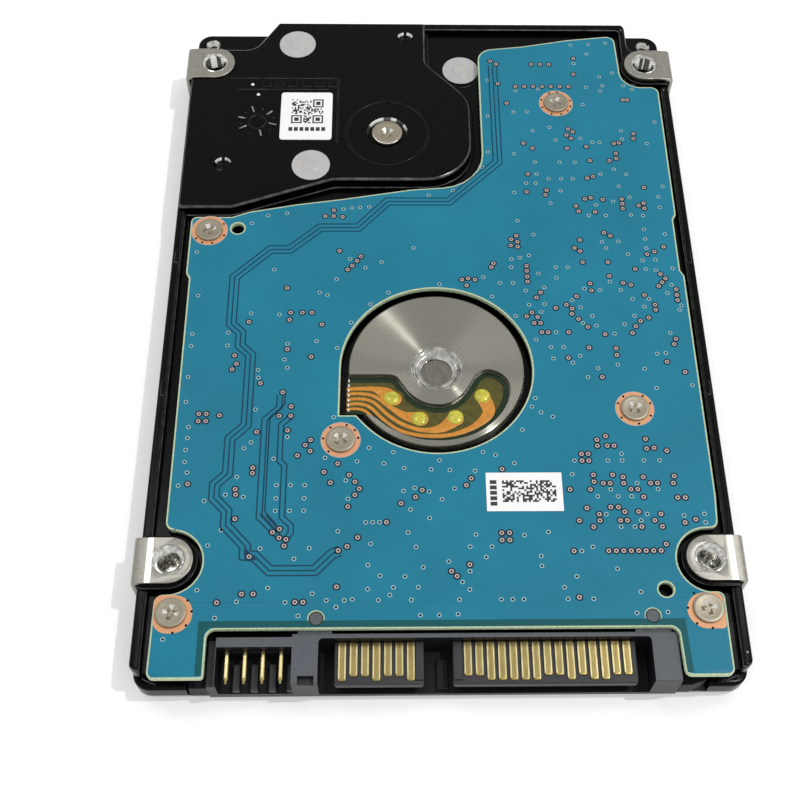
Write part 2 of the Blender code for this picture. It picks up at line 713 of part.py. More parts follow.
def actuator():
    at = (*PIVOT, 0.0)
    block = part("actuator_arm", prism(circle(PIVOT, 5.2, 24), 1.0, 4.6), (0.6, 0.6, 0.6), 0.35, 1.0, at)
    plate = rounded(along_arm([
        (0, -4.4),
        (10, -3.6),
        (26, -1.9, 0.8),
        (26, 1.9, 0.8),
        (10, 3.6),
        (0, 4.4),
    ]))
    window = rounded(along_arm([(10, -2.0, 0.4), (21, -0.9, 0.4), (21, 0.9, 0.4), (10, 2.0, 0.4)]), 2)
    add(block, prism(plate, 1.05, 1.4, [window]))
    add(block, prism(plate, 3.6, 4.0, [window]))
    fork = [
        tail_polar(4.5, -70),
        tail_polar(8.0, -34),
        tail_polar(17.4, -24),
        tail_polar(17.4, -18.8),
        tail_polar(8.6, -15.7),
        tail_polar(8.6, 15.7),
        tail_polar(17.4, 18.8),
        tail_polar(17.4, 24),
        tail_polar(8.0, 34),
        tail_polar(4.5, 70),
    ]
    add(block, prism(fork, 2.7, 3.6))
    cut(block, prism(circle(PIVOT, 3.65, 24), 0, 6))
    coil = prism(fan(9.0, 14.0, 16.9, 17.2, 0.9), 2.65, 3.65, [fan(11.6, 8.0, 14.4, 10.5, 0.5)])
    part("voice_coil", coil, (0.7, 0.3, 0.12), 0.35, 1.0, at)
    bearing = lathe([(1.8, 1.0), (3.5, 1.0), (3.5, 4.9), (1.8, 4.9)], PIVOT, 24)
    part("pivot_bearing", bearing, (0.55, 0.55, 0.57), 0.25, 1.0, at)
    beam = along_arm([
        (21, -2.2),
        (25.5, -2.2),
        (32, -0.8),
        (34.2, -0.45),
        (35.9, -0.45),
        (35.9, 0.45),
        (34.2, 0.45),
        (32, 0.8),
        (25.5, 2.2),
        (21, 2.2),
    ])
    head = along_arm(box(HEAD_REACH - 0.6, HEAD_REACH + 0.6, -0.5, 0.5))
    part("suspension_lower", prism(beam, 1.48, 1.66), (0.65, 0.65, 0.65), 0.25, 1.0, at)
    part("suspension_upper", prism(beam, 3.34, 3.52), (0.65, 0.65, 0.65), 0.25, 1.0, at)
    part("head_slider_lower", prism(head, 1.72, 2.0), (0.05, 0.05, 0.06), 0.3, 0.3, at)
    part("head_slider_upper", prism(head, 3.0, 3.28), (0.05, 0.05, 0.06), 0.3, 0.3, at)


def pivot_shaft():
    foot = [(0, 0.75), (2.4, 0.75), (2.4, 0.92)]
    post = [(1.7, 0.92), (1.7, 5.12), (0.85, 5.12), (0.85, 3.9), (0, 3.9)]
    profile = foot + post
    return part("pivot_shaft", lathe(profile, PIVOT, 16), (0.6, 0.6, 0.6), 0.25, 1.0)


def voice_coil_motor():
    """Two steel yoke plates with the magnet between them, round the coil's swing."""
    steel = (0.5, 0.5, 0.5)
    plate = sector(PIVOT, 8.0, 19.6, 94, 178, 12)
    part("yoke_upper", prism(plate, 5.05, 5.75), steel, 0.35, 1.0)
    lower = part("yoke_lower", prism(plate, 1.5, 2.2), steel, 0.35, 1.0)
    for angle in (98, 174):
        post = circle(polar(PIVOT, 18.6, angle), 0.8, 12)
        add(lower, prism(post, 2.1, 4.97))
    magnet = prism(sector(PIVOT, 9.0, 17.4, 102, 172, 12), 4.1, 4.95)
    part("coil_magnet", magnet, (0.35, 0.35, 0.36), 0.35, 1.0)
    for name, angle in (("crash_stop_outer", 185.5), ("crash_stop_inner", 90.0)):
        stop = lathe([(0, 0.9), (0.9, 0.9), (0.9, 5.9), (0, 5.9)], polar(PIVOT, 15.0, angle), 12)
        part(name, stop, (0.03, 0.03, 0.03), 0.8)


def load_ramp():
    foot = rounded([(26.9, 12.8), (27.6, 10.0), (31.8, 9.0, 0.8), (31.8, 17.0, 0.8), (28.6, 17.0)])
    ramp = part("load_ramp", prism(foot, 1.0, 4.2), (0.75, 0.72, 0.62), 0.45)
    add(ramp, prism(sector(PIVOT, 34.15, 37.4, -21.5, -29.5, 6), 1.78, 3.22))
    cut(ramp, prism(circle(SPINDLE, WELL_RADIUS - 0.25, 60), 1.99, 3.01))
    return ramp


def head_cable():
    """The ribbon from the actuator to the socket that passes through the base."""
    bends = [Vector(spot) for spot in ((8.2, 37.5), (4.5, 44.5), (-3.2, 43.0), (-3.8, 33.1))]
    count = 14
    route = []
    for i in range(count + 1):
        t = i / count
        weights = ((1 - t) ** 3, 3 * t * (1 - t) ** 2, 3 * t * t * (1 - t), t ** 3)
        route.append(sum((bend * w for bend, w in zip(bends, weights)), Vector((0.0, 0.0))))
    left, right = [], []
    for i, spot in enumerate(route):
        ahead = (route[min(i + 1, count)] - route[max(i - 1, 0)]).normalized()
        side = Vector((-ahead.y, ahead.x)) * 0.08
        left.append(tuple(spot + side))
        right.append(tuple(spot - side))
    part("flex_circuit", prism(left + right[::-1], 1.9, 3.9), (0.5, 0.25, 0.05), 0.4)
    plate = rounded([(8.6, 35.2, 0.6), (21.6, 35.2, 0.6), (21.6, 43.0, 0.6), (8.6, 43.0, 0.6)])
    part("flex_bracket", prism(plate, 1.2, 1.7), (0.6, 0.6, 0.6), 0.35, 1.0)
    part("head_connector", prism(box(9.8, 20.0, 36.2, 41.8), 1.8, 5.8), (0.03, 0.03, 0.03), 0.5)


def recirculation_filter():
    pad = rounded([(29.6, 21.5, 0.6), (32.0, 21.5, 0.6), (32.0, 31.0, 0.6), (29.6, 31.0, 0.6)], 2)
    return part("recirculation_filter", prism(pad, 1.0, 4.3), (0.85, 0.85, 0.82), 0.9)


def build():
    for thing in list(bpy.data.objects):
        bpy.data.objects.remove(thing)
    base_deck()
    top_cover()
    cover_gasket()
    for row, y in (("front", MOUNT_FRONT), ("rear", MOUNT_REAR)):
        for hand, side in (("left", -1), ("right", 1)):
            mounting_bracket(f"bracket_{row}_{hand}", side, y)
    circuit_board()
    chips()
    screws()
    labels()
    connector_housing()
    contact_comb("signal_contacts", SIGNAL_FIRST, 7, (1, 4, 7))
    contact_comb("power_contacts", POWER_FIRST, 15, (3, 4, 5, 6, 7, 10, 12, 13))
    jumper_pins()
    motor_base()
    motor_flex()
    bearing_sleeve()
    stator_core()
    stator_windings()
    rotor()
    actuator()
    pivot_shaft()
    voice_coil_motor()
    load_ramp()
    head_cable()
    recirculation_filter()


build()
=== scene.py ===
"""The looks of a 2.5-inch hard disk drive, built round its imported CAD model.

Sizes are in millimetres and scaled to metres when a piece is made. +X is to the
right with the connector towards the viewer, +Y is the far end, and +Z points up
out of the circuit board.
"""

import json
import math
import random

import bpy
from mathutils import Matrix, Vector
from mathutils.geometry import tessellate_polygon


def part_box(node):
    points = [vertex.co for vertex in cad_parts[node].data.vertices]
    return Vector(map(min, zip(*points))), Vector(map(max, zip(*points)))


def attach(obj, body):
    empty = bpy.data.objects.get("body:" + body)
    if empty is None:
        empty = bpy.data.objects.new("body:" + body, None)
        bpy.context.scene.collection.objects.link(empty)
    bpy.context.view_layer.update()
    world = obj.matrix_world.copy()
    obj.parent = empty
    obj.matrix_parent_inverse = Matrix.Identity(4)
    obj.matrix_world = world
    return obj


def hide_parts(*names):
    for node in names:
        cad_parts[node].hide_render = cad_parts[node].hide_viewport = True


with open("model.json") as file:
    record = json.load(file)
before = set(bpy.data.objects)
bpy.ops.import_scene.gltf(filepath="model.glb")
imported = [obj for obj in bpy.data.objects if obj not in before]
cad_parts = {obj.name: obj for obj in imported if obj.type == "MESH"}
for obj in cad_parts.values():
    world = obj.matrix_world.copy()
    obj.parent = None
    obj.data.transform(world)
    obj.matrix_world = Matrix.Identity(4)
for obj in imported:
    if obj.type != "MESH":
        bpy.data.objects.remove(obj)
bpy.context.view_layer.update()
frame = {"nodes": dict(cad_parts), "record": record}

MM = 0.001
BODY = "chassis"


# ------------------------------------------------------ places from the frame

def corners(node):
    low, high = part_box(node)
    return low / MM, high / MM


def middle(node):
    low, high = corners(node)
    return ((low.x + high.x) / 2, (low.y + high.y) / 2)


def top(node):
    return corners(node)[1].z


def bottom(node):
    return corners(node)[0].z


SPINDLE = middle("platter")
PIVOT = middle("pivot_screw")
BOARD_LOW, BOARD_TOP = bottom("circuit_board"), top("circuit_board")
PLATEAU = top("base_deck")
BASE_LOW = bottom("base_deck")
BOARD_SCREWS = [middle(f"board_screw_{i}") for i in range(1, 7)]
COVER_SCREWS = [middle(f"cover_screw_{i}") for i in range(1, 5)]
SEALS = [middle(f"seal_sticker_{i}") for i in range(1, 4)]
MOTOR_FACE = top("motor_base")

HALF_WIDTH = corners("bracket_front_right")[1].x
MOUNT_X = 30.86
SIDES = {"left": -1, "right": 1}
MOUNT_ROWS = {"front": middle("bracket_front_left")[1], "rear": middle("bracket_rear_left")[1]}
TONGUE = 2.8
CLIP_PLACES = [(row, hand, side, y) for row, y in MOUNT_ROWS.items() for hand, side in SIDES.items()]
CLIP_TOP, CLIP_SHEET, CLIP_BORE_RADIUS = 7.0, 0.5, 1.78
LEDGE_TOP, FLOOR_TOP, RAIL_TOP = 3.2, 5.1, 6.0
CAVITY_ROOF, POCKET_ROOF, SEAT_TOP = 4.5, 6.05, 6.4
DIMPLES = [(-28.6, 22.0), (-3.6, 45.8)]
LOCATING_HOLES = [(-25.9, 11.2), (25.4, -39.7)]
PEGS = [(-14.0, -42.9), (23.6, -42.8)]
MOTOR_HOLE, MOTOR_RADIUS = 11.03, 10.93
ABOVE, NEAR_SIDE = 8, -52    # past the drive, where cutters end


# ------------------------------------------------------------------- outlines

def polar(centre, radius, degrees):
    angle = math.radians(degrees)
    return (centre[0] + radius * math.cos(angle), centre[1] + radius * math.sin(angle))


def arc(centre, radius, start, end, count):
    return [polar(centre, radius, start + (end - start) * i / count) for i in range(count + 1)]


def circle(centre, radius, count=48):
    return arc(centre, radius, 0, 360, count)[:-1]


def box(x0, x1, y0, y1):
    return [(x0, y0), (x1, y0), (x1, y1), (x0, y1)]


def rounded(spots, per_quarter=8):
    """A closed outline; a corner written (x, y, r) is rounded to radius r."""
    points = []
    for i, spot in enumerate(spots):
        here = Vector(spot[:2])
        radius = spot[2] if len(spot) > 2 else 0.0
        back = Vector(spots[i - 1][:2]) - here
        ahead = Vector(spots[(i + 1) % len(spots)][:2]) - here
        turn = back.angle(ahead)
        if radius == 0.0 or abs(turn - math.pi) < 0.01:
            points.append(tuple(here))
            continue
        start = here + back.normalized() * radius / math.tan(turn / 2)
        end = here + ahead.normalized() * radius / math.tan(turn / 2)
        centre = here + (back.normalized() + ahead.normalized()).normalized() * radius / math.sin(turn / 2)
        count = max(2, round(per_quarter * (math.pi - turn) / (math.pi / 2)))
        sweep = (start - centre).angle_signed(end - centre)
        for k in range(count + 1):
            spun = start - centre
            spun.rotate(Matrix.Rotation(-sweep * k / count, 2))
            points.append(tuple(centre + spun))
    return [spot for i, spot in enumerate(points) if math.dist(spot, points[i - 1]) > 1e-4]


def raised(profile, z):
    """The (radius, height) points of a profile, lifted by z."""
    return [(radius, z + height) for radius, height in profile]


def rounded_box(x0, x1, y0, y1, radius, per_quarter=8):
    return rounded([(x, y, radius) for x, y in box(x0, x1, y0, y1)], per_quarter)


def mirrored(outline):
    return [(-x, y) for x, y in outline]


def anticlockwise(outline):
    area = sum(a[0] * b[1] - b[0] * a[1] for a, b in zip(outline, outline[1:] + outline[:1]))
    return list(outline) if area > 0 else list(outline)[::-1]


def inset(loop, distance):
    """The loop moved to its left, which is inwards on an anticlockwise one."""
    if distance == 0.0:
        return list(loop)
    moved = []
    for i, spot in enumerate(loop):
        here = Vector(spot)
        before = (here - Vector(loop[i - 1])).normalized()
        after = (Vector(loop[(i + 1) % len(loop)]) - here).normalized()
        left = Vector((-before.y, before.x)) + Vector((-after.y, after.x))
        moved.append(tuple(here + left * distance / max(0.35, 1 + before.dot(after))))
    return moved


def smooth(spots, steps=6):
    """A curve through given points."""
    line = [Vector(spot) for spot in spots]
    line = [2 * line[0] - line[1], *line, 2 * line[-1] - line[-2]]
    made = []
    for a, b, c, d in zip(line, line[1:], line[2:], line[3:]):
        for k in range(steps):
            t = k / steps
            made.append(0.5 * (2 * b + (c - a) * t + (2 * a - 5 * b + 4 * c - d) * t * t
                               + (3 * b - a - 3 * c + d) * t ** 3))
    return [tuple(spot) for spot in made] + [tuple(line[-2])]


def strip(spots, width):
    """The outline of a flat strip along a line; width is a number or one for each point."""
    widths = [width] * len(spots) if isinstance(width, (int, float)) else width
    left, right = [], []
    for i, spot in enumerate(spots):
        here = Vector(spot)
        before = (here - Vector(spots[i - 1])).normalized() if i else None
        after = (Vector(spots[i + 1]) - here).normalized() if i + 1 < len(spots) else None
        before, after = before or after, after or before
        across = Vector((-before.y, before.x)) + Vector((-after.y, after.x))
        across = across / max(0.35, 1 + before.dot(after)) * widths[i] / 2
        left.append(tuple(here + across))
        right.append(tuple(here - across))
    return left + right[::-1]


# --------------------------------------------------------------------- solids

class Solid:
    """Closed shells in millimetres; each face has the number of the material it shows."""

    def __init__(self):
        self.points, self.faces, self.paint = [], [], []

    def shell(self, points, faces, paint):
        volume = 0.0
        for face in faces:
            a = Vector(points[face[0]])
            for i, j in zip(face[1:], face[2:]):
                volume += a.dot(Vector(points[i]).cross(Vector(points[j])))
        first = len(self.points)
        self.points += points
        for face in faces:
            self.faces.append([first + i for i in (face if volume > 0 else face[::-1])])
            self.paint.append(paint)
        return self

    def slab(self, outline, low, high, holes=(), edge=0.0, foot=0.0, paint=0, steps=3):
        """A flat solid with its upper edges rounded to edge and its lower ones to foot."""
        loops = [anticlockwise(outline)] + [anticlockwise(hole)[::-1] for hole in holes]
        turns = [math.pi / 2 * k / steps for k in range(steps + 1)]
        rings = [(0.0, low)]
        if foot:
            rings = [(foot * (1 - math.sin(a)), low + foot * (1 - math.cos(a))) for a in turns]
        if edge:
            rings += [(edge * (1 - math.cos(a)), high - edge * (1 - math.sin(a))) for a in turns]
        else:
            rings.append((0.0, high))
        points, faces = [], []
        size = sum(len(loop) for loop in loops)
        for distance, z in rings:
            for loop in loops:
                points += [(x, y, z) for x, y in inset(loop, distance)]
        for level in range(len(rings) - 1):
            start = level * size
            for loop in loops:
                for i in range(len(loop)):
                    j = (i + 1) % len(loop)
                    faces.append([start + i, start + j, start + size + j, start + size + i])
                start += len(loop)
        flat = [(x, y) for loop in loops for x, y in loop]
        fill = tessellate_polygon([[Vector((x, y, 0)) for x, y in loop] for loop in loops])
        last = (len(rings) - 1) * size
        for triangle in fill:
            a, b, c = (Vector(flat[i]) for i in triangle)
            up = list(triangle) if (b - a).cross(c - a) > 0 else list(triangle)[::-1]
            faces.append(up[::-1])
            faces.append([last + i for i in up])
        return self.shell(points, faces, paint)

    def turned(self, profile, centre, count=64, paint=0):
        """A turned solid; its (radius, height) points close on themselves or on the axis."""
        points, rings, faces = [], [], []
        for radius, z in profile:
            spots = [centre] if radius == 0.0 else circle(centre, radius, count)
            rings.append(range(len(points), len(points) + len(spots)))
            points += [(x, y, z) for x, y in spots]
        pairs = list(zip(rings, rings[1:]))
        if profile[0][0] != 0.0:
            pairs.append((rings[-1], rings[0]))
        for lower, upper in pairs:
            for i in range(count):
                j = (i + 1) % count
                ring = [lower[i % len(lower)], lower[j % len(lower)],
                        upper[j % len(upper)], upper[i % len(upper)]]
                ring = list(dict.fromkeys(ring))
                if len(ring) > 2:
                    faces.append(ring)
        return self.shell(points, faces, paint)

    def along_x(self, outline, x0, x1):
        """A slab whose outline is (y, z), running along X."""
        made = Solid().slab(outline, x0, x1)
        return self.shell([(x, y, z) for y, z, x in made.points], made.faces, 0)


def as_object(name, solid):
    data = bpy.data.meshes.new(name)
    data.from_pydata([(x * MM, y * MM, z * MM) for x, y, z in solid.points], [], solid.faces)
    data.polygons.foreach_set("material_index", solid.paint)
    thing = bpy.data.objects.new(name, data)
    bpy.context.scene.collection.objects.link(thing)
    return thing


def shaped(thing, *steps):
    """Joins solids to a piece or cuts them out of it, in order, and keeps the result."""
    helpers = []
    for i, (operation, solid) in enumerate(steps):
        helper = as_object(f"tool_{i}", solid)
        modifier = thing.modifiers.new(f"step_{i}", "BOOLEAN")
        modifier.operation = operation
        modifier.solver = "MANIFOLD"
        modifier.object = helper
        helpers.append(helper)
    graph = bpy.context.evaluated_depsgraph_get()
    made = bpy.data.meshes.new_from_object(thing.evaluated_get(graph))
    thing.modifiers.clear()
    thing.data = made
    for helper in helpers:
        bpy.data.objects.remove(helper)


def join(*solids):
    return [("UNION", solid) for solid in solids]


def cut(*solids):
    return [("DIFFERENCE", solid) for solid in solids]


def direction(place, spot):
    """How far a place is from a spot in plan, and which way in degrees."""
    across, along = place[0] - spot[0], place[1] - spot[1]
    return math.hypot(across, along), math.degrees(math.atan2(along, across))


def show(thing, materials, replaces=(), sharp=32):
    """Gives a piece its materials and clean shading, and puts it on its CAD body."""
    numbers = [face.material_index for face in thing.data.polygons]
    thing.data.materials.clear()
    for material in materials:
        thing.data.materials.append(material)
    thing.data.polygons.foreach_set("material_index", numbers)
    thing.data.shade_smooth()
    thing.data.set_sharp_from_angle(angle=math.radians(sharp))
    weighted = thing.modifiers.new("even_normals", "WEIGHTED_NORMAL")
    weighted.keep_sharp = True
    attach(thing, BODY)
    if replaces:
        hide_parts(*replaces)


def show_painted(thing, rule, materials, replaces):
    """Shows a piece whose faces take the material that rule(place in mm, normal) gives."""
    for face in thing.data.polygons:
        face.material_index = materials.index(rule([c / MM for c in face.center], face.normal))
    show(thing, materials, replaces)


def piece(name, solid, materials, replaces=()):
    show(as_object(name, solid), materials, replaces)


# ------------------------------------------------------------------ materials

class Surface:
    """A Principled material and the nodes that vary it."""

    def __init__(self, name, colour, roughness, metallic=0.0, **sockets):
        self.material = bpy.data.materials.new(name)
        self.material.use_nodes = True
        self.nodes = self.material.node_tree.nodes
        self.shader = self.nodes["Principled BSDF"]
        self.colour, self.roughness = colour, roughness
        self.set(self.shader, Base_Color=(*colour, 1.0), Roughness=roughness, Metallic=metallic, **sockets)
        self.place = self.nodes.new("ShaderNodeTexCoord").outputs["Object"]

    def set(self, node, **sockets):
        for socket, value in sockets.items():
            node.inputs[socket.replace("_", " ")].default_value = value
        return node

    def link(self, output, node, socket):
        self.material.node_tree.links.new(output, node.inputs[socket])

    def grain(self, size, stretch=(1, 1, 1), detail=4.0):
        """Noise with features of about the given size in millimetres, longer along stretch."""
        mapping = self.nodes.new("ShaderNodeMapping")
        mapping.inputs["Scale"].default_value = [1 / (size * MM * s) for s in stretch]
        self.link(self.place, mapping, "Vector")
        noise = self.set(self.nodes.new("ShaderNodeTexNoise"), Scale=1.0, Detail=detail)
        self.link(mapping.outputs["Vector"], noise, "Vector")
        return noise.outputs["Fac"]

    def span(self, source, low, high):
        """A 0 to 1 pattern spread between two values."""
        spread = self.set(self.nodes.new("ShaderNodeMapRange"), From_Min=0.3, From_Max=0.7,
                          To_Min=low, To_Max=high)
        self.link(source, spread, "Value")
        return spread.outputs["Result"]

    def vary_colour(self, source, darker, lighter):
        """Base colour from darker to lighter times the plain one."""
        mix = self.nodes.new("ShaderNodeMix")
        mix.data_type = "RGBA"
        ends = [socket for socket in mix.inputs if socket.type == "RGBA"]
        for socket, share in zip(ends, (darker, lighter)):
            socket.default_value = (*[min(1.0, c * share) for c in self.colour], 1.0)
        self.link(self.span(source, 0.0, 1.0), mix, "Factor")
        result = [socket for socket in mix.outputs if socket.type == "RGBA"][0]
        self.link(result, self.shader, "Base Color")
        return self

    def vary_roughness(self, source, change):
        spread = self.span(source, self.roughness - change, self.roughness + change)
        self.link(spread, self.shader, "Roughness")
        return self

    def relief(self, source, depth, strength=1.0):
        """Fine surface relief, depth in millimetres."""
        bump = self.set(self.nodes.new("ShaderNodeBump"), Strength=strength, Distance=depth * MM)
        self.link(source, bump, "Height")
        self.link(bump.outputs["Normal"], self.shader, "Normal")
        return self


def plain(name, colour, roughness, metallic=0.0, size=0.4, tone=0.08, change=0.06, depth=0.004,
          stretch=(1, 1, 1), **sockets):
    """A surface with one grain that varies its colour, roughness and relief together."""
    surface = Surface(name, colour, roughness, metallic, **sockets)
    pattern = surface.grain(size, stretch)
    surface.vary_colour(pattern, 1 - tone, 1 + tone)
    surface.vary_roughness(pattern, change)
    surface.relief(pattern, depth)
    return surface.material


def turned_metal(name, colour, roughness, pitch):
    """Metal faced on a lathe: fine rings round the piece's own axis, and the streak they give."""
    surface = Surface(name, colour, roughness, 1.0, Anisotropic=1.0, Anisotropic_Rotation=0.25)
    tangent = surface.nodes.new("ShaderNodeTangent")
    tangent.direction_type = "RADIAL"
    tangent.axis = "Z"
    surface.link(tangent.outputs["Tangent"], surface.shader, "Tangent")
    rings = surface.nodes.new("ShaderNodeTexWave")
    rings.wave_type = "RINGS"
    rings.rings_direction = "Z"
    surface.set(rings, Scale=math.tau / (20 * pitch * MM), Distortion=0.6, Detail=2.0)
    surface.link(surface.place, rings, "Vector")
    cloud = surface.grain(2.5)
    surface.vary_colour(rings.outputs["Fac"], 0.93, 1.06)
    surface.vary_roughness(cloud, 0.03)
    surface.relief(rings.outputs["Fac"], 0.002, 0.4)
    return surface.material


def casting():
    surface = Surface("black_casting", (0.0010, 0.0010, 0.0010), 0.17, Specular_IOR_Level=0.10)
    fine, broad = surface.grain(0.18), surface.grain(3.0)
    surface.vary_colour(broad, 0.8, 1.2)
    surface.vary_roughness(broad, 0.05)
    surface.relief(fine, 0.006, 0.5)
    return surface.material


def solder_mask():
    surface = Surface("solder_mask", (0.009, 0.185, 0.285), 0.42, Specular_IOR_Level=0.2)
    weave, broad = surface.grain(0.35), surface.grain(9.0)
    surface.vary_colour(broad, 0.93, 1.07)
    surface.vary_roughness(broad, 0.05)
    surface.relief(weave, 0.006, 0.6)
    return surface.material


CASTING = casting()
# A lighter metal on the casting's rounded edges: a painted edge highlight.
CASTING_PAINTED_HIGHLIGHT = plain("casting_painted_edge_highlight", (0.11, 0.11, 0.11), 0.22, 1.0, size=1.5, tone=0.5, depth=0.003)
# A lighter metal for painted glints on the cast rays and on small bumps.
CASTING_GLINT = plain("casting_glint", (0.30, 0.30, 0.29), 0.2, 1.0, size=0.5, tone=0.6, depth=0.003)
MASK = solder_mask()
MASK_DARK = plain("mask_over_bare_board", (0.001, 0.088, 0.100), 0.42, size=0.4, Specular_IOR_Level=0.2)
TRACE = plain("mask_over_trace", (0.002, 0.040, 0.080), 0.42, size=0.4, Specular_IOR_Level=0.2)
CLEARANCE = plain("mask_clearance", (0.002, 0.020, 0.040), 0.45, size=0.3, Specular_IOR_Level=0.2)
BOARD_EDGE = plain("bare_board", (0.48, 0.58, 0.38), 0.6, size=0.2, tone=0.25)
COPPER = plain("pad_copper", (0.70, 0.34, 0.165), 0.5, 0.2, size=0.3)
VIA_RING = plain("via_ring", (0.29, 0.47, 0.51), 0.45, size=0.2)
VIA_COPPER = plain("via_copper", (0.52, 0.41, 0.385), 0.45, 0.2, size=0.2)
# A near-black film for painted shade: the dark middles of vias and the shadow at the flex's tail.
HOLE_PAINTED_SHADE = plain("hole_painted_shade", (0.004, 0.004, 0.005), 0.7, size=0.2, Specular_IOR_Level=0.1)
NICKEL = plain("screw_nickel", (0.34, 0.305, 0.235), 0.46, 1.0, size=0.25, tone=0.12, depth=0.003)
# Painted shade and painted highlight for the walls of a screw's cross recess.
NICKEL_PAINTED_SHADE = plain("screw_recess", (0.27, 0.24, 0.17), 0.25, 1.0, size=0.22, tone=0.7)
NICKEL_LIT = plain("screw_recess_lit", (0.98, 0.94, 0.80), 0.25, 1.0, size=0.25, tone=0.3)
CLIP = plain("clip_steel", (0.35, 0.335, 0.295), 0.3, 1.0, size=0.5, tone=0.12, change=0.02, depth=0.0)
# Near-white steel that stands for a painted glint wherever it is used.
PAINTED_GLINT = plain("painted_glint_steel", (0.93, 0.92, 0.89), 0.3, 1.0, size=0.5, tone=0.08, depth=0.001)
# A dark copy of the clip's steel: painted shade down a rear bore.
CLIP_BORE_PAINTED_SHADE = plain("clip_bore_painted_shade", (0.10, 0.095, 0.085), 0.22, 1.0, size=0.35, tone=0.7, depth=0.002)
CLIP_BORE = plain("clip_bore", (0.72, 0.70, 0.64), 0.14, 1.0, size=0.5, tone=0.5, depth=0.004)
COVER = plain("cover_steel", (0.56, 0.57, 0.58), 0.33, 1.0, size=0.1, stretch=(1, 30, 1), depth=0.002)
RUBBER = plain("black_rubber", (0.02, 0.02, 0.02), 0.8, size=0.3)
LABEL = plain("label_film", (0.90, 0.90, 0.90), 0.42, size=1.5, tone=0.02)
INK = plain("label_ink", (0.02, 0.02, 0.022), 0.5, size=0.3)
SEAL = plain("seal_film", (0.47, 0.46, 0.45), 0.38, size=1.2, tone=0.04, Coat_Weight=0.3)
PLASTIC = plain("connector_plastic", (0.080, 0.088, 0.100), 0.5, size=0.22, tone=0.18, depth=0.008)
# Two darker copies of the connector's plastic: painted shade on its lower and upright faces, and deeper
# painted shade in its bays.
PLASTIC_SHADE = plain("connector_plastic_painted_shade", (0.019, 0.019, 0.022), 0.5, size=0.22, tone=0.18, depth=0.008)
PLASTIC_PAINTED_DEEP_SHADE = plain("connector_painted_deep_shade", (0.006, 0.006, 0.008), 0.5, size=0.22, Specular_IOR_Level=0.2)
# Brighter gold for painted highlights along the contacts and the jumper pins.
GOLD_PAINTED_HIGHLIGHT = plain("contact_gold_painted_highlight", (0.72, 0.62, 0.33), 0.28, 1.0, size=0.15, stretch=(1, 8, 1),
                  depth=0.002)
GOLD = plain("contact_gold", (0.33, 0.26, 0.10), 0.33, 1.0, size=0.15, stretch=(1, 8, 1), depth=0.004)
TURNED = turned_metal("turned_aluminium", (0.31, 0.30, 0.255), 0.27, 0.35)
# Polished metal whose strong light and dark patches are painted glints.
DISH_PAINTED_GLINTS = plain("polished_dish_painted_glints", (0.50, 0.49, 0.46), 0.1, 1.0, size=0.9, tone=0.6, depth=0.008)
FLEX_HALO = plain("flex_film_thin", (0.085, 0.075, 0.012), 0.22, size=0.8, tone=0.25, Specular_IOR_Level=0.3)
FLEX = plain("flex_film", (0.010, 0.026, 0.007), 0.18, size=0.8, tone=0.25, Specular_IOR_Level=0.3)
FLEX_TRACE = plain("flex_trace", (0.60, 0.235, 0.015), 0.36, 0.1, size=0.5, tone=0.15, Coat_Weight=0.15)
SOLDER = plain("solder_under_film", (0.54, 0.49, 0.03), 0.2, 0.1, size=0.6, tone=0.25, Coat_Weight=0.6)
MOTOR_STEEL = plain("motor_steel", (0.42, 0.42, 0.42), 0.34, 1.0, size=0.2)
HUB_END = plain("hub_end", (0.19, 0.18, 0.15), 0.35, 1.0, size=0.3, stretch=(1, 5, 1), tone=0.15)
CHIP = plain("chip_black", (0.03, 0.03, 0.032), 0.6, size=0.15)
ALUMINIUM = plain("arm_aluminium", (0.64, 0.64, 0.64), 0.33, 1.0, size=0.12, stretch=(10, 1, 1))
COIL = plain("coil_copper", (0.72, 0.34, 0.15), 0.3, 1.0, size=0.1, stretch=(1, 6, 1), depth=0.01)
MAGNET = plain("magnet_nickel", (0.6, 0.6, 0.61), 0.22, 1.0, size=0.4)
DISK = plain("disk_surface", (0.78, 0.78, 0.8), 0.05, 1.0, size=4.0, tone=0.02, change=0.01, depth=0.0005)
RAMP = plain("ramp_plastic", (0.8, 0.76, 0.62), 0.45, size=0.3)
FELT = plain("filter_felt", (0.88, 0.88, 0.86), 0.9, size=0.08, tone=0.1, depth=0.03)
CERAMIC = plain("slider_ceramic", (0.06, 0.06, 0.07), 0.2, size=0.1)

BY_SLOT = {
    "black_casting": CASTING, "cover_steel": COVER, "black_rubber": RUBBER, "clip_steel": CLIP,
    "solder_mask": MASK, "chip_black": CHIP, "screw_nickel": NICKEL, "label_white": LABEL,
    "seal_grey": SEAL, "connector_plastic": PLASTIC, "gold_contact": GOLD,
    "turned_aluminium": TURNED, "flex_film": FLEX, "motor_steel": MOTOR_STEEL,
    "disk_surface": DISK, "arm_aluminium": ALUMINIUM, "coil_copper": COIL,
    "magnet_nickel": MAGNET, "ramp_plastic": RAMP, "filter_felt": FELT, "slider_ceramic": CERAMIC,
}


def paint_cad_nodes():
    """Every CAD node takes its slot's material; show() hides those that a piece replaces."""
    for part in frame["record"]["subparts"]:
        data = frame["nodes"][part["node"]].data
        data.materials.clear()
        data.materials.append(BY_SLOT[part["material_slot"]])


# --------------------------------------------------------------- base casting

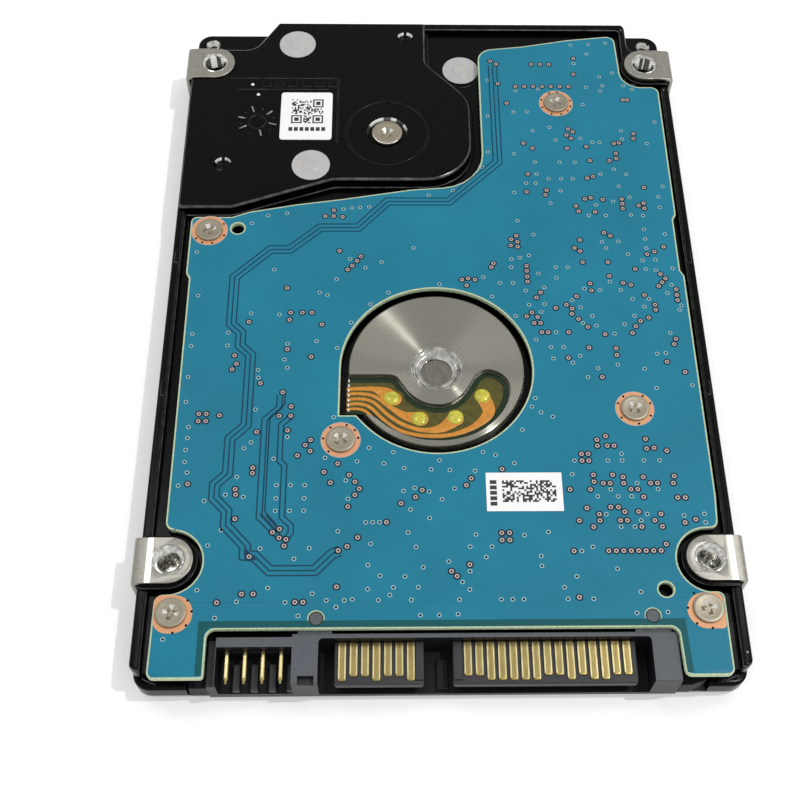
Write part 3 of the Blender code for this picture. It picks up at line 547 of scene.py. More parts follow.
def well_outline():
    well = arc(SPINDLE, 33.25, 7.0, -228.5, 90)
    bay = rounded([
        well[-1],
        (-28.0, 17.3, 2.0),
        (-32.8, 20.0, 1.0),
        (-32.8, 36.0, 1.0),
        (-27.0, 37.4, 1.0),
        (-27.0, 41.5, 1.0),
        (-21.0, 46.5, 1.0),
        (-20.5, 48.6, 0.8),
        (27.4, 48.6, 1.0),
        (27.4, 36.0, 1.0),
        (33.0, 36.0, 1.0),
        well[0],
    ], 4)
    return well + bay[1:-1]


def plateau_outline():
    return rounded([
        (-34.15, 14.6, 0.8),
        (-27.0, 14.6, 3.0),
        (-13.5, 19.4, 3.0),
        (5.5, 19.4, 6.5),
        (5.5, 34.0, 5.0),
        (-0.7, 41.0, 2.0),
        (-0.7, 49.8),
        (-21.6, 49.8, 0.9),
        (-25.35, 43.55, 2.5),
        (-34.15, 43.55),
    ], 8)


def pocket_outline():
    return rounded([
        (-32.6, 20.3, 0.8),
        (-27.5, 18.0, 1.0),
        (-13.0, 21.6, 1.0),
        (0.5, 21.6, 3.0),
        (3.8, 25.0, 1.0),
        (3.8, 33.0, 2.0),
        (-2.2, 39.8, 1.0),
        (-2.2, 48.2, 0.8),
        (-20.4, 48.2, 0.8),
        (-26.4, 41.0, 1.0),
        (-27.0, 35.8, 1.0),
        (-32.6, 35.8, 0.8),
    ], 4)


def tongue_outline(side, y, grow, outer):
    """A clip's tongue, larger by grow all round, from its round tip out to x = outer."""
    half = TONGUE + grow
    tip = arc((MOUNT_X, y), half, 270, 90, 24)
    outline = rounded([(outer, y + half, 0.6), (outer, y - half, 0.6)] + tip, 6)
    return outline if side > 0 else mirrored(outline)


def base_deck():
    lower = Solid().slab(rounded_box(-34.35, 34.35, -49.8, 50.0, 2.0), BASE_LOW, LEDGE_TOP,
                         edge=0.4, foot=0.2)
    upper = Solid().slab(rounded([
        (-34.2, -48.5, 1.0), (34.2, -48.5, 1.0), (34.2, 43.7, 0.4), (28.9, 43.7, 2.0),
        (28.9, 49.85, 0.6), (-21.75, 49.85, 0.6), (-25.4, 43.7, 2.5), (-34.2, 43.7, 0.4),
    ]), BASE_LOW + 0.1, FLOOR_TOP)
    left_rail = Solid().slab(rounded([
        (-34.3, -48.6, 1.0), (-33.0, -48.6, 0.3), (-33.0, 43.8), (-34.3, 43.8, 0.4),
    ]), 1.1, RAIL_TOP, edge=0.32)
    right_rail = Solid().slab(rounded([
        (33.0, -48.6, 0.3), (34.3, -48.6, 1.0), (34.3, 43.8, 0.4), (29.0, 43.8, 2.0), (29.0, 49.95, 1.3),
        (-21.8, 49.95, 0.6), (-21.2, 48.4), (28.0, 48.4, 0.5), (28.0, 37.5), (33.0, 37.5),
    ]), 1.1, RAIL_TOP, edge=0.32)
    plateau = Solid().slab(plateau_outline(), FLOOR_TOP - 0.4, PLATEAU, edge=0.42, steps=5)
    skirt = Solid().slab(rounded([
        (-33.9, 14.15, 0.8), (-26.9, 14.15, 3.0), (-13.4, 18.95, 3.0), (5.95, 18.95, 6.9), (5.95, 34.2, 5.2),
        (-0.15, 41.2, 2.0), (-0.15, 49.6), (-20.0, 49.6), (-20.0, 30.0), (-33.9, 30.0),
    ]), FLOOR_TOP - 0.3, FLOOR_TOP + 0.4, edge=0.25)
    pads, bosses = Solid(), Solid()
    for _, _, side, y in CLIP_PLACES:
        pads.slab(tongue_outline(side, y, 0.45, 34.25), FLOOR_TOP - 0.25, SEAT_TOP, edge=0.12)
    for spot in BOARD_SCREWS:
        bosses.slab(circle(spot, 2.1, 24), FLOOR_TOP - 0.1, 5.8)
    deck = as_object("base_casting", lower)
    boss = Solid().slab(circle(PIVOT, 3.2, 32), 5.2, POCKET_ROOF + 0.1)
    recess = [(0, 5), (0.9, 5), (0.9, 6.3), (2.55, 6.3), (2.85, 6.62), (3.0, ABOVE), (0, ABOVE)]
    shaped(deck, *join(upper, left_rail, right_rail, plateau, skirt, pads, bosses), *cut(*base_cutters()),
           *join(boss), *cut(Solid().turned(recess, PIVOT)))
    show_painted(deck, base_paint, [CASTING, CASTING_PAINTED_HIGHLIGHT, PAINTED_GLINT], ["base_deck"])


def base_paint(place, normal):
    """Black, with painted highlights on its rounded edges and painted glints round the pivot's seat and the
    dimples.
    """
    x, y, z = place
    for spot in DIMPLES:
        away, turn = direction(place, spot)
        if away < 1.3 and 0.3 < normal.z < 0.98 and z > 6.2:
            # Arcs on a dimple's slopes take a painted glint.
            far = away > 1.05 and (20 < turn < 80 or 105 < turn < 160)
            near = away < 0.75 and -70 < turn < -20
            return PAINTED_GLINT if far or near else CASTING
    away, turn = direction(place, PIVOT)
    # Arcs of the pivot's seat take a painted glint.
    glint = 10 < turn < 35 or 62 < turn < 78 or 100 < turn < 150
    if 2.4 < away < 3.1 and 0.3 < normal.z < 0.95 and glint:
        return PAINTED_GLINT
    # Rounded edges that face up take the painted edge highlight, but not those leaning back at the rear end.
    leans_out = normal.x * x > 0 and abs(x) > 34.0
    leans_back = normal.y > 0.3 and y > 48.0
    rounded_edge = (0.75 if leans_out else 0.45) < normal.z < 0.92 and z > 5.3
    return CASTING_PAINTED_HIGHLIGHT if rounded_edge and not leans_back else CASTING


def base_cutters():
    """What is cut out of the base, in groups; the solids in a group don't touch each other."""
    well = Solid().slab(well_outline(), 0, CAVITY_ROOF)
    pocket = Solid().slab(pocket_outline(), CAVITY_ROOF - 0.2, POCKET_ROOF)
    holes = Solid().slab(circle(SPINDLE, MOTOR_HOLE, 96), 4, ABOVE)
    holes.slab(box(9.5, 20.3, 35.95, 42.1), 4, 6)
    for spot in COVER_SCREWS:
        holes.slab(circle(spot, 1.02, 24), 0, LEDGE_TOP + 0.5 if spot[1] > 0 else LEDGE_TOP)
    for spot in BOARD_SCREWS:
        holes.slab(circle(spot, 0.75, 20), 4.75, 7)
    for spot in DIMPLES:
        holes.turned([(0, 6.42), (0.35, 6.36), (0.75, 6.28), (1.0, 6.4), (1.3, 6.9), (0, 6.9)], spot, 32)
    seats, grooves, collars, side_holes = Solid(), Solid(), Solid(), Solid()
    collar = [(0, 3.9), (1.6, 3.9), (1.6, 5.0), (2.15, 5.0), (2.15, 7), (0, 7)]
    for _, _, side, y in CLIP_PLACES:
        half = TONGUE + 0.15
        seats.slab(tongue_outline(side, y, 0.15, 36), SEAT_TOP, ABOVE)
        grooves.slab(box(*sorted((side * 34.3, side * 36)), y - half, y + half), 1.6, ABOVE)
        collars.turned(collar, (side * MOUNT_X, y), 32)
        side_holes.along_x(circle((y, 4.0), 1.6, 24), *sorted((side * 32.8, side * 35)))
    front = Solid().slab(box(-26.6, 26.8, NEAR_SIDE, -44.25), 0, ABOVE)
    ears = Solid().slab(box(-28.3, 29.8, NEAR_SIDE, -48.1), 0, 3.9)
    chamfer = Solid().along_x([(48.55, 6.9), (50.2, 5.25), (50.2, 6.9)], -30, 32)
    return [well, pocket, holes, seats, grooves, collars, side_holes, front, ears, chamfer]


def base_relief():
    """What stands a little proud of the casting: beads, ribs and the cast date wheel."""
    relief = Solid()
    plateau_relief(relief)
    date_wheel(relief, (-24.3, 29.7))
    for side in SIDES.values():
        rail_relief(relief, side)
    low = FLOOR_TOP - 0.1    # the arc beside the third seal and the ribs behind the board
    relief.slab(strip(arc(SEALS[2], 3.2, -108, -62, 12), 0.3), low, FLOOR_TOP + 0.14, edge=0.12)
    for i in range(6):
        x = 5.6 + 1.35 * i
        relief.slab(rounded_box(x, x + 0.8, 44.9, 46.3, 0.1, 3), low, FLOOR_TOP + 0.06, edge=0.05)
    # Small bumps at the rail corners, each painted with a glint.
    painted_glint_dot = raised([(0, -0.1), (0.14, -0.1), (0.14, 0.02), (0.08, 0.07), (0, 0.07)], RAIL_TOP)
    for spot in ((28.4, 48.45), (33.5, 36.6), (33.75, -46.9)):
        relief.turned(painted_glint_dot, spot, 16, 1)
    thing = as_object("casting_relief", relief)
    # The relief's rounded edges take the painted edge highlight.
    for face in thing.data.polygons:
        if face.material_index == 0 and 0.4 < face.normal.z < 0.95:
            face.material_index = 3
    show(thing, [CASTING, CASTING_GLINT, PAINTED_GLINT, CASTING_PAINTED_HIGHLIGHT])


def plateau_relief(relief):
    """The ring round the pivot, three long beads and a row of small ribs."""
    low = PLATEAU - 0.1
    relief.slab(circle(PIVOT, 5.85, 96), low, PLATEAU + 0.06, [circle(PIVOT, 5.5, 96)], edge=0.06)
    for start, end, width, height in (
        ((-13.15, 37.9), (-13.15, 25.9), 0.3, 0.1),
        ((-28.4, 37.85), (-13.35, 37.85), 0.3, 0.1),
        ((-27.4, 35.75), (-14.6, 35.75), 0.26, 0.08),
    ):
        relief.slab(strip([start, end], width), low, PLATEAU + height, edge=0.1)
    for i in range(6):
        x = -24.0 + 1.9 * i
        relief.slab(rounded_box(x, x + 1.25, 36.2, 37.4, 0.15, 3), low, PLATEAU + 0.07, edge=0.07)


def date_wheel(relief, wheel):
    """A ring with long and short rays by turns, and two dots above it; the long rays carry a painted glint
    and the dots a brighter one.
    """
    low = PLATEAU - 0.1
    for i, turn in enumerate((-15, 15, 42, 73, 108, 137, 165, 192, 211, 248, 284, 320)):
        # Every other ray is long and painted with a glint.
        bright = 1 - i % 2
        inner, outer, width, height = (1.65, 2.8, 0.26, 0.2) if bright else (2.15, 2.5, 0.2, 0.12)
        ray = [polar(wheel, inner, turn), polar(wheel, outer, turn)]
        relief.slab(strip(ray, width), low, PLATEAU + height, edge=0.09, paint=bright)
    relief.slab(circle(wheel, 1.35, 32), low, PLATEAU + 0.1, [circle(wheel, 1.05, 32)], edge=0.1)
    dot = raised([(0.26, 0.04), (0.2, 0.13), (0.1, 0.18), (0, 0.2)], PLATEAU)
    for spot in ((-25.3, 36.6), (-24.4, 34.7)):
        relief.turned([(0, low), (0.26, low), *dot], spot, 20, 2)


def rail_relief(relief, side):
    """The bead along a side rail, its two lugs and the ridge round its near corner."""
    bead = [(side * 33.35, -32.2), (side * 33.35, 36.4)]
    relief.slab(strip(bead, 0.2), RAIL_TOP - 0.1, RAIL_TOP + 0.09, edge=0.09)
    x = side * 33.6
    for y in (-13.0, 7.0):
        lug = rounded_box(x - 0.35, x + 0.35, y - 1.1, y + 1.1, 0.3, 4)
        relief.slab(lug, RAIL_TOP - 0.2, RAIL_TOP + 0.12, edge=0.14)
    bend = ((33.75, -43.6), (33.8, -46.4), (33.3, -48.3), (31.6, -49.2))
    corner = smooth([(side * x, y) for x, y in bend])
    relief.slab(strip(corner, 0.35), LEDGE_TOP - 0.3, LEDGE_TOP + 0.22, edge=0.16)


# --------------------------------------------------------------- mounting clips

# How far out the painted glint on a front clip lies, and which ways from its middle a rear bore's threads are
# painted lit
PAINTED_GLINT_STRIPES = {"front_left": (32.6, 33.4), "front_right": (32.95, 33.6)}
REAR_BORE_LIT = {"left": [(15, 62), (88, 128)], "right": [(8, 38), (72, 84), (102, 165)]}


def mounting_clip(row, hand, side, y):
    """A bent steel clip; its collar is drawn down from the sheet and threaded."""
    centre = (side * MOUNT_X, y)
    clip = clip_sheet(side, y)
    clip.turned(collar_profile(), centre, 48, 1)
    thing = as_object(f"clip_{row}_{hand}", clip)
    side_hole = Solid().along_x(circle((y, 4.0), 1.25, 32), *sorted((side * 34, side * 36)))
    shaped(thing, *cut(side_hole))
    stripe = PAINTED_GLINT_STRIPES.get(f"{row}_{hand}", (0, 0))

    def clip_paint(place, normal):
        """A polished bore; at the rear it is painted shade with painted glints on its threads, and at the
        front a painted glint lies on the bend.
        """
        away, turn = direction(place, centre)
        z = place[2]
        if away > CLIP_BORE_RADIUS + 0.01 or z > CLIP_TOP - 0.001:
            glint = stripe[0] < abs(place[0]) < stripe[1] and normal.z > 0.9 and z > 6.8
            return PAINTED_GLINT if glint else CLIP
        if row == "front" or z > CLIP_TOP - 0.3:
            return CLIP_BORE
        lit = any(first < turn < last for first, last in REAR_BORE_LIT[hand])
        return PAINTED_GLINT if lit and normal.z > 0.3 and z > 4.6 else CLIP_BORE_PAINTED_SHADE

    materials = [CLIP, CLIP_BORE, PAINTED_GLINT, CLIP_BORE_PAINTED_SHADE]
    show_painted(thing, clip_paint, materials, [f"bracket_{row}_{hand}"])


def clip_sheet(side, y):
    """The sheet: a leg down the drive's side, a bend, a slight slope and the flat tongue."""
    low = CLIP_TOP - CLIP_SHEET
    start, inner = 32.66, HALF_WIDTH - 0.5
    slope = [(start + 0.17 * i, CLIP_TOP - 0.0011 * i * i) for i in range(11)]
    leg = [(inner - 0.12, low - 0.1), (inner, low - 0.3), (inner, 2.0), (HALF_WIDTH, 2.0)]
    bend = arc((inner, slope[-1][1] - 0.52), 0.5, 0, 75, 8)
    profile = [(side * x, z) for x, z in leg + bend + slope[::-1] + [(start, low)]]
    made = Solid().slab(profile, y - TONGUE, y + TONGUE, edge=0.1, foot=0.1)
    sheet = Solid().shell([(x, y, z) for x, z, y in made.points], made.faces, 0)
    root = start + 0.12
    tongue = rounded([(root, y + TONGUE), (root, y - TONGUE)] + arc((MOUNT_X, y), TONGUE, 270, 90, 32))
    if side < 0:
        tongue = mirrored(tongue)
    bore = circle((side * MOUNT_X, y), CLIP_BORE_RADIUS, 48)
    return sheet.slab(tongue, low, CLIP_TOP, [bore], edge=0.09)


def collar_profile():
    """The collar's outside, its lip and the thread down its bore."""
    outside = [(0, 3.95), (1.5, 3.95), (1.5, 4.95), (CLIP_BORE_RADIUS, 5.18)]
    lip = [(CLIP_BORE_RADIUS, CLIP_TOP - 0.03), (1.66, CLIP_TOP), (1.42, CLIP_TOP - 0.2)]
    thread = []
    for i in range(5):
        z = CLIP_TOP - 0.42 - 0.45 * i
        thread += [(1.24, z), (1.46, z - 0.22)]
    return [*outside, *lip, *thread, (1.28, 4.1), (0, 4.1)]


# -------------------------------------------------------------- circuit board

def board_outline():
    return rounded([
        (-32.2, -49.65, 0.8),
        (-26.0, -49.65, 0.4),
        (-26.0, -44.1, 1.0),
        (26.3, -44.1, 1.0),
        (26.5, -49.65, 0.8),
        (31.95, -49.65, 0.8),
        (31.97, -39.95, 0.8),
        *arc((30.95, -36.1), 3.9, 262, 90, 24),
        (32.3, -32.1, 0.9),
        (32.55, -28.0),
        (32.55, 3.6, 0.4),
        (32.1, 4.4, 0.4),
        (32.1, 12.8, 0.4),
        (32.55, 13.6, 0.4),
        (32.6, 36.6, 1.1),
        (30.0, 36.6),
        (27.4, 36.8, 2.8),
        (27.1, 46.7, 1.2),
        (20.0, 45.8),
        (13.5, 44.5),
        (6.9, 43.7, 2.2),
        (6.85, 18.6, 6.0),
        (-3.0, 17.8),
        (-12.0, 16.2),
        (-18.5, 15.2),
        (-24.5, 14.0),
        (-26.8, 13.1),
        (-32.15, 13.1, 0.8),
        (-32.15, 4.0, 0.4),
        (-31.7, 3.2, 0.4),
        (-31.6, -32.3, 1.0),
        *arc((-30.95, -36.1), 3.9, 90, -90, 24),
        (-32.1, -39.9, 1.0),
    ], 6)


def motor_window():
    return [(-11.95, -17.1), (-9.9, -17.1)] + arc((0.0, -10.35), 11.9, -142, 180, 96)[1:]


RIM, PEG_RIM = 0.2, 0.12    # how far the mask stops short of the edges and of the peg holes
MASK_TOP = BOARD_TOP + 0.025


def circuit_board():
    """The bare laminate, which shows as a pale edge, and the mask on it."""
    holes = [motor_window()]
    holes += [circle(spot, 1.0, 24) for spot in BOARD_SCREWS]
    holes += [circle(spot, 0.85, 32) for spot in LOCATING_HOLES]
    peg_holes = [circle(spot, 0.85, 24) for spot in PEGS]
    bare = Solid().slab(board_outline(), BOARD_LOW, BOARD_TOP, holes + peg_holes,
                        edge=0.06, foot=0.06, steps=2)
    piece("board_laminate", bare, [BOARD_EDGE], ["circuit_board"])
    outer = inset(anticlockwise(board_outline()), RIM)
    openings = [inset(anticlockwise(hole)[::-1], RIM)[::-1] for hole in holes]
    openings += [inset(anticlockwise(hole)[::-1], PEG_RIM)[::-1] for hole in peg_holes]
    mask = Solid().slab(outer, BOARD_TOP - 0.04, MASK_TOP, openings, edge=0.02, steps=2)
    piece("board_mask", mask, [MASK])


def over_mask(solid, outline, lift, holes=(), paint=0):
    solid.slab(outline, BOARD_TOP - 0.02, MASK_TOP + lift, holes, paint=paint)


def board_bands():
    """The mask is darker where there is no copper under it, along the connector."""
    band = Solid()
    over_mask(band, [
        (-26.95, -49.3), (-26.22, -49.3), (-26.22, -44.6), (-25.7, -43.92), (25.9, -43.92),
        (26.5, -44.6), (26.72, -49.3), (27.4, -49.3), (27.15, -43.15),
        *arc(PEGS[1], 0.87, -23.7, -156.3, 16), *arc(PEGS[0], 0.87, -16.7, -163.3, 16), (-26.95, -43.15),
    ], 0.010)
    piece("board_edge_bands", band, [MASK_DARK])


def parallel(spots, offset):
    """A line of straight runs, moved to its left by offset."""
    loop = strip(spots, 2 * abs(offset))
    half = len(spots)
    return loop[:half] if offset > 0 else loop[half:][::-1]


MAIN_BUS = [
    (9.0, 40.6), (9.0, 22.6), (2.1, 15.7), (-6.1, 15.7), (-10.0, 11.3), (-15.0, 11.3), (-18.9, 7.7),
    (-21.4, 7.7), (-25.8, 3.3), (-25.8, -3.9), (-24.5, -5.2), (-24.5, -7.1), (-23.1, -8.5), (-23.1, -18.5),
    (-24.9, -20.3), (-24.9, -25.0), (-26.3, -26.4), (-26.3, -28.1), (-24.7, -29.8), (-24.7, -31.6),
    (-22.3, -34.2), (-22.3, -35.3), (-21.2, -35.4), (-19.4, -37.2), (-14.3, -37.2), (-12.4, -35.2),
    (-11.5, -34.8),
]
INNER_BUS = [(-19.2, -14.3), (-19.2, -16.0), (-20.9, -17.7), (-20.9, -30.6), (-18.6, -33.0)]
SHORT_BUS = [(-17.8, -17.3), (-18.9, -18.4), (-18.9, -23.3), (-18.3, -23.9), (-18.3, -30.6), (-17.2, -31.7),
             (-17.2, -32.6), (-17.7, -33.3)]
LONE_TRACK = [(-18.6, -14.2), (-18.6, -15.6), (-20.3, -17.3), (-20.3, -29.9), (-18.9, -31.5)]


def board_traces():
    """Tracks that show through the mask as fine dark lines."""
    traces = Solid()
    buses = [(MAIN_BUS, (-0.62, -0.02, 0.58)), (INNER_BUS, (-0.35, 0.3)), (SHORT_BUS, (-0.3, 0.3))]
    tracks = [parallel(bus, offset) for bus, offsets in buses for offset in offsets] + [LONE_TRACK]
    for track in tracks:
        over_mask(traces, strip(track, 0.16), 0.012)
    for track in ([(-20.8, -30.2), (-19.0, -32.2)], [(-20.1, -30.3), (-18.7, -31.9)]):
        over_mask(traces, strip(track, 0.28), 0.020)
    over_mask(traces, [(-22.4, -34.3), (-20.9, -35.9), (-22.3, -35.9)], 0.020)
    piece("board_traces", traces, [TRACE])


def via_row(x, y, step, count):
    """Vias in a line to the right of (x, y)."""
    return [(x + step * i, y) for i in range(count)]


# Vias covered by the mask, which show as pale rings
SMALL_VIAS = [
    # far left
    (-22.0, 13.3), (-19.5, 13.7), (-24.1, 12.0), (-12.0, 14.4), (-10.9, 14.6), (-9.8, 14.7), (-8.6, 14.8),
    (-0.6, 16.8), (-2.7, 8.0), (-6.9, 5.7), (-9.0, 4.8), (-11.0, 6.2), (-12.7, 3.0), (-20.8, 4.5),
    (-14.8, 0.9), (-13.8, 0.5), (-6.0, 0.9), (-31.0, 7.3), (-30.3, 0.4),
    # far right
    (2.7, 17.6), (6.8, 21.7), (7.7, 24.4), (7.9, 31.0), (8.1, 37.8), (20.8, 41.1), (20.6, 44.8),
    (23.2, 44.9), (25.7, 45.2), (22.8, 43.0), (26.2, 39.3), (24.3, 38.5), (24.6, 36.8), (27.6, 36.8),
    (28.8, 36.1), (24.2, 35.8), (22.2, 36.5), (12.1, 35.8), (15.3, 36.1), (11.6, 31.7), (13.5, 31.8),
    (21.5, 33.2), (31.4, 30.0), (16.5, 28.9), (14.1, 28.3), (20.7, 26.9), (17.2, 26.6), (22.3, 26.2),
    (23.3, 26.2), (26.5, 28.3), (26.5, 26.8), (29.9, 26.0), (11.3, 24.1), (19.6, 22.6), (17.5, 22.6),
    (14.1, 22.6), (24.9, 21.4), (23.0, 20.5), (26.5, 20.5), (14.2, 20.5), (19.1, 19.7), (17.5, 19.7),
    (15.8, 19.7), (14.0, 18.9), (12.7, 18.9), (25.3, 18.4), (31.3, 18.4), (17.3, 17.6), (11.0, 17.3),
    (26.6, 16.5), (30.5, 16.6), (24.3, 15.8), (30.5, 14.8), (15.8, 15.5), (21.9, 15.2), (20.8, 13.4),
    (23.1, 13.4), (26.5, 13.5), (28.1, 13.4), (11.2, 12.5), (13.2, 10.2), (22.2, 9.0), (24.4, 9.1),
    (22.7, 8.0), (28.0, 11.1), (28.0, 9.5), (30.7, 10.3), (28.0, 8.0), (25.5, 7.0), (27.3, 6.0),
    (29.0, 6.1), (12.4, 6.8), (11.2, 6.4), (10.1, 6.2), (10.0, 4.9), (13.5, 3.9), (15.8, 4.9), (17.4, 4.9),
    (15.8, 3.2), (22.7, 2.6), (24.0, 1.3), (21.3, 1.3), (19.3, 1.5), (27.6, 4.6), (28.9, 4.4), (31.1, 4.7),
    (30.7, 2.1), (6.3, 3.3), (8.4, 2.4), (10.1, 2.4), (11.7, 1.2), (14.1, 1.7), (7.3, 0.3), (0.6, 2.2),
    (30.0, 0.8),
    # near left
    (-8.3, -0.9), (-23.4, -2.3), (-19.8, -2.5), (-10.7, -3.7), (-26.1, -5.2), (-30.6, -5.4), (-30.6, -7.2),
    (-26.1, -7.1), (-15.0, -6.5), (-12.4, -7.5), (-18.6, -6.9), (-18.9, -9.2), (-18.5, -10.4),
    (-22.1, -10.7), (-30.6, -11.7), (-22.0, -11.8), (-30.6, -15.2), (-22.1, -16.3), (-12.6, -17.4),
    (-30.0, -18.7), (-30.0, -20.2), (-18.1, -20.1), (-22.4, -20.8), (-23.2, -21.6), (-30.1, -21.8),
    (-8.3, -21.6), (-5.4, -22.2), (-13.5, -22.9), (-19.6, -23.0), (-30.1, -23.4), (-9.7, -23.4),
    (-6.5, -23.7), (-4.1, -24.3), (-0.9, -24.5), (-29.7, -24.8), (-23.8, -25.4), (-11.0, -25.9),
    (-30.6, -26.5), *via_row(-19.1, -26.5, 1.65, 3), (-25.0, -27.7), (-22.9, -28.0), (-27.4, -28.5),
    (-19.1, -28.2), (-15.8, -28.2), (-10.7, -28.3), (-4.2, -27.3), (-2.9, -26.9), (-1.2, -27.4),
    (-3.4, -29.7), *via_row(-19.1, -29.8, 1.65, 3), (-1.2, -30.8), (-25.2, -32.2),
    *via_row(-8.6, -31.3, 0.8, 3), (-11.8, -32.4), (-3.7, -32.6), (-8.0, -34.0), (-26.6, -34.1),
    (-20.6, -34.5), (-15.0, -34.5), (-2.8, -34.4), (-16.7, -35.8), (-8.3, -36.6), (-2.0, -36.9),
    (-6.9, -37.9), (-4.1, -38.0), (-19.5, -39.3), (-27.4, -39.5), (-8.3, -39.5), (-5.4, -39.3),
    (-2.6, -39.3), (-5.8, -40.2), (-14.5, -40.0), (-12.9, -40.8), (-10.9, -40.8), (-10.0, -40.7),
    (-7.1, -40.8), (-3.4, -40.8), (-22.9, -40.9), (-17.5, -41.0), (-11.8, -41.6), (-16.0, -42.6),
    (-25.2, -42.8), (-2.4, -42.6), (-0.3, -42.6), (-30.7, -45.2),
    # near right
    (10.2, -2.7), (12.0, -1.0), (13.5, -2.1), (15.2, -5.2), (12.6, -6.3), (14.0, -0.9), (17.6, -0.3),
    (18.6, -1.4), (20.0, -2.7), (18.7, -3.8), (20.4, -4.2), (22.6, -5.4), (24.0, -4.0), (25.4, -2.7),
    (26.8, -1.3), (25.4, -0.1), (27.5, -0.1), (31.6, -1.1), (31.3, -1.8), (29.7, -5.3), (14.4, -7.4),
    (16.0, -7.4), (18.0, -8.7), (17.0, -9.7), (14.6, -9.1), (22.6, -10.0), (27.7, -8.4), (28.8, -8.3),
    (20.1, -10.5), (25.9, -10.6), (18.7, -11.8), (31.6, -13.0), (27.1, -13.4), (12.0, -14.8), (11.5, -16.0),
    (12.6, -16.8), (14.0, -17.4), (10.2, -19.2), (21.9, -22.5), (21.9, -23.4), (16.2, -23.4), (20.2, -23.4),
    (24.5, -23.4), (26.4, -23.4), (5.3, -22.2), (6.8, -22.6), (0.1, -23.3), (9.0, -23.7), (1.3, -24.6),
    (4.3, -24.7), (1.8, -27.0), (0.3, -28.4), (15.8, -25.2), (23.4, -26.4), (20.2, -27.2), (25.8, -27.2),
    (18.6, -28.1), (21.0, -28.1), (22.6, -28.1), (19.4, -30.4), (24.2, -30.4), (28.5, -30.6), (30.9, -30.4),
    (23.4, -31.2), (30.9, -31.5), (21.0, -32.0), (22.6, -32.0), (4.1, -32.9), (9.7, -33.0), (12.5, -32.6),
    (3.4, -34.4), (5.9, -34.4), (17.5, -34.5), (16.2, -35.0), (5.2, -35.7), (11.5, -35.6), (0.9, -36.2),
    (11.5, -36.8), (3.3, -37.4), (2.4, -38.7), (20.1, -37.2), (15.4, -38.1), (13.9, -39.4), (3.2, -39.6),
    (2.0, -40.8), *via_row(6.7, -40.8, 1.27, 3), (14.2, -40.8), (17.1, -40.8), (22.5, -40.0), (1.8, -42.5),
    (21.8, -42.5), (25.3, -42.4),
]

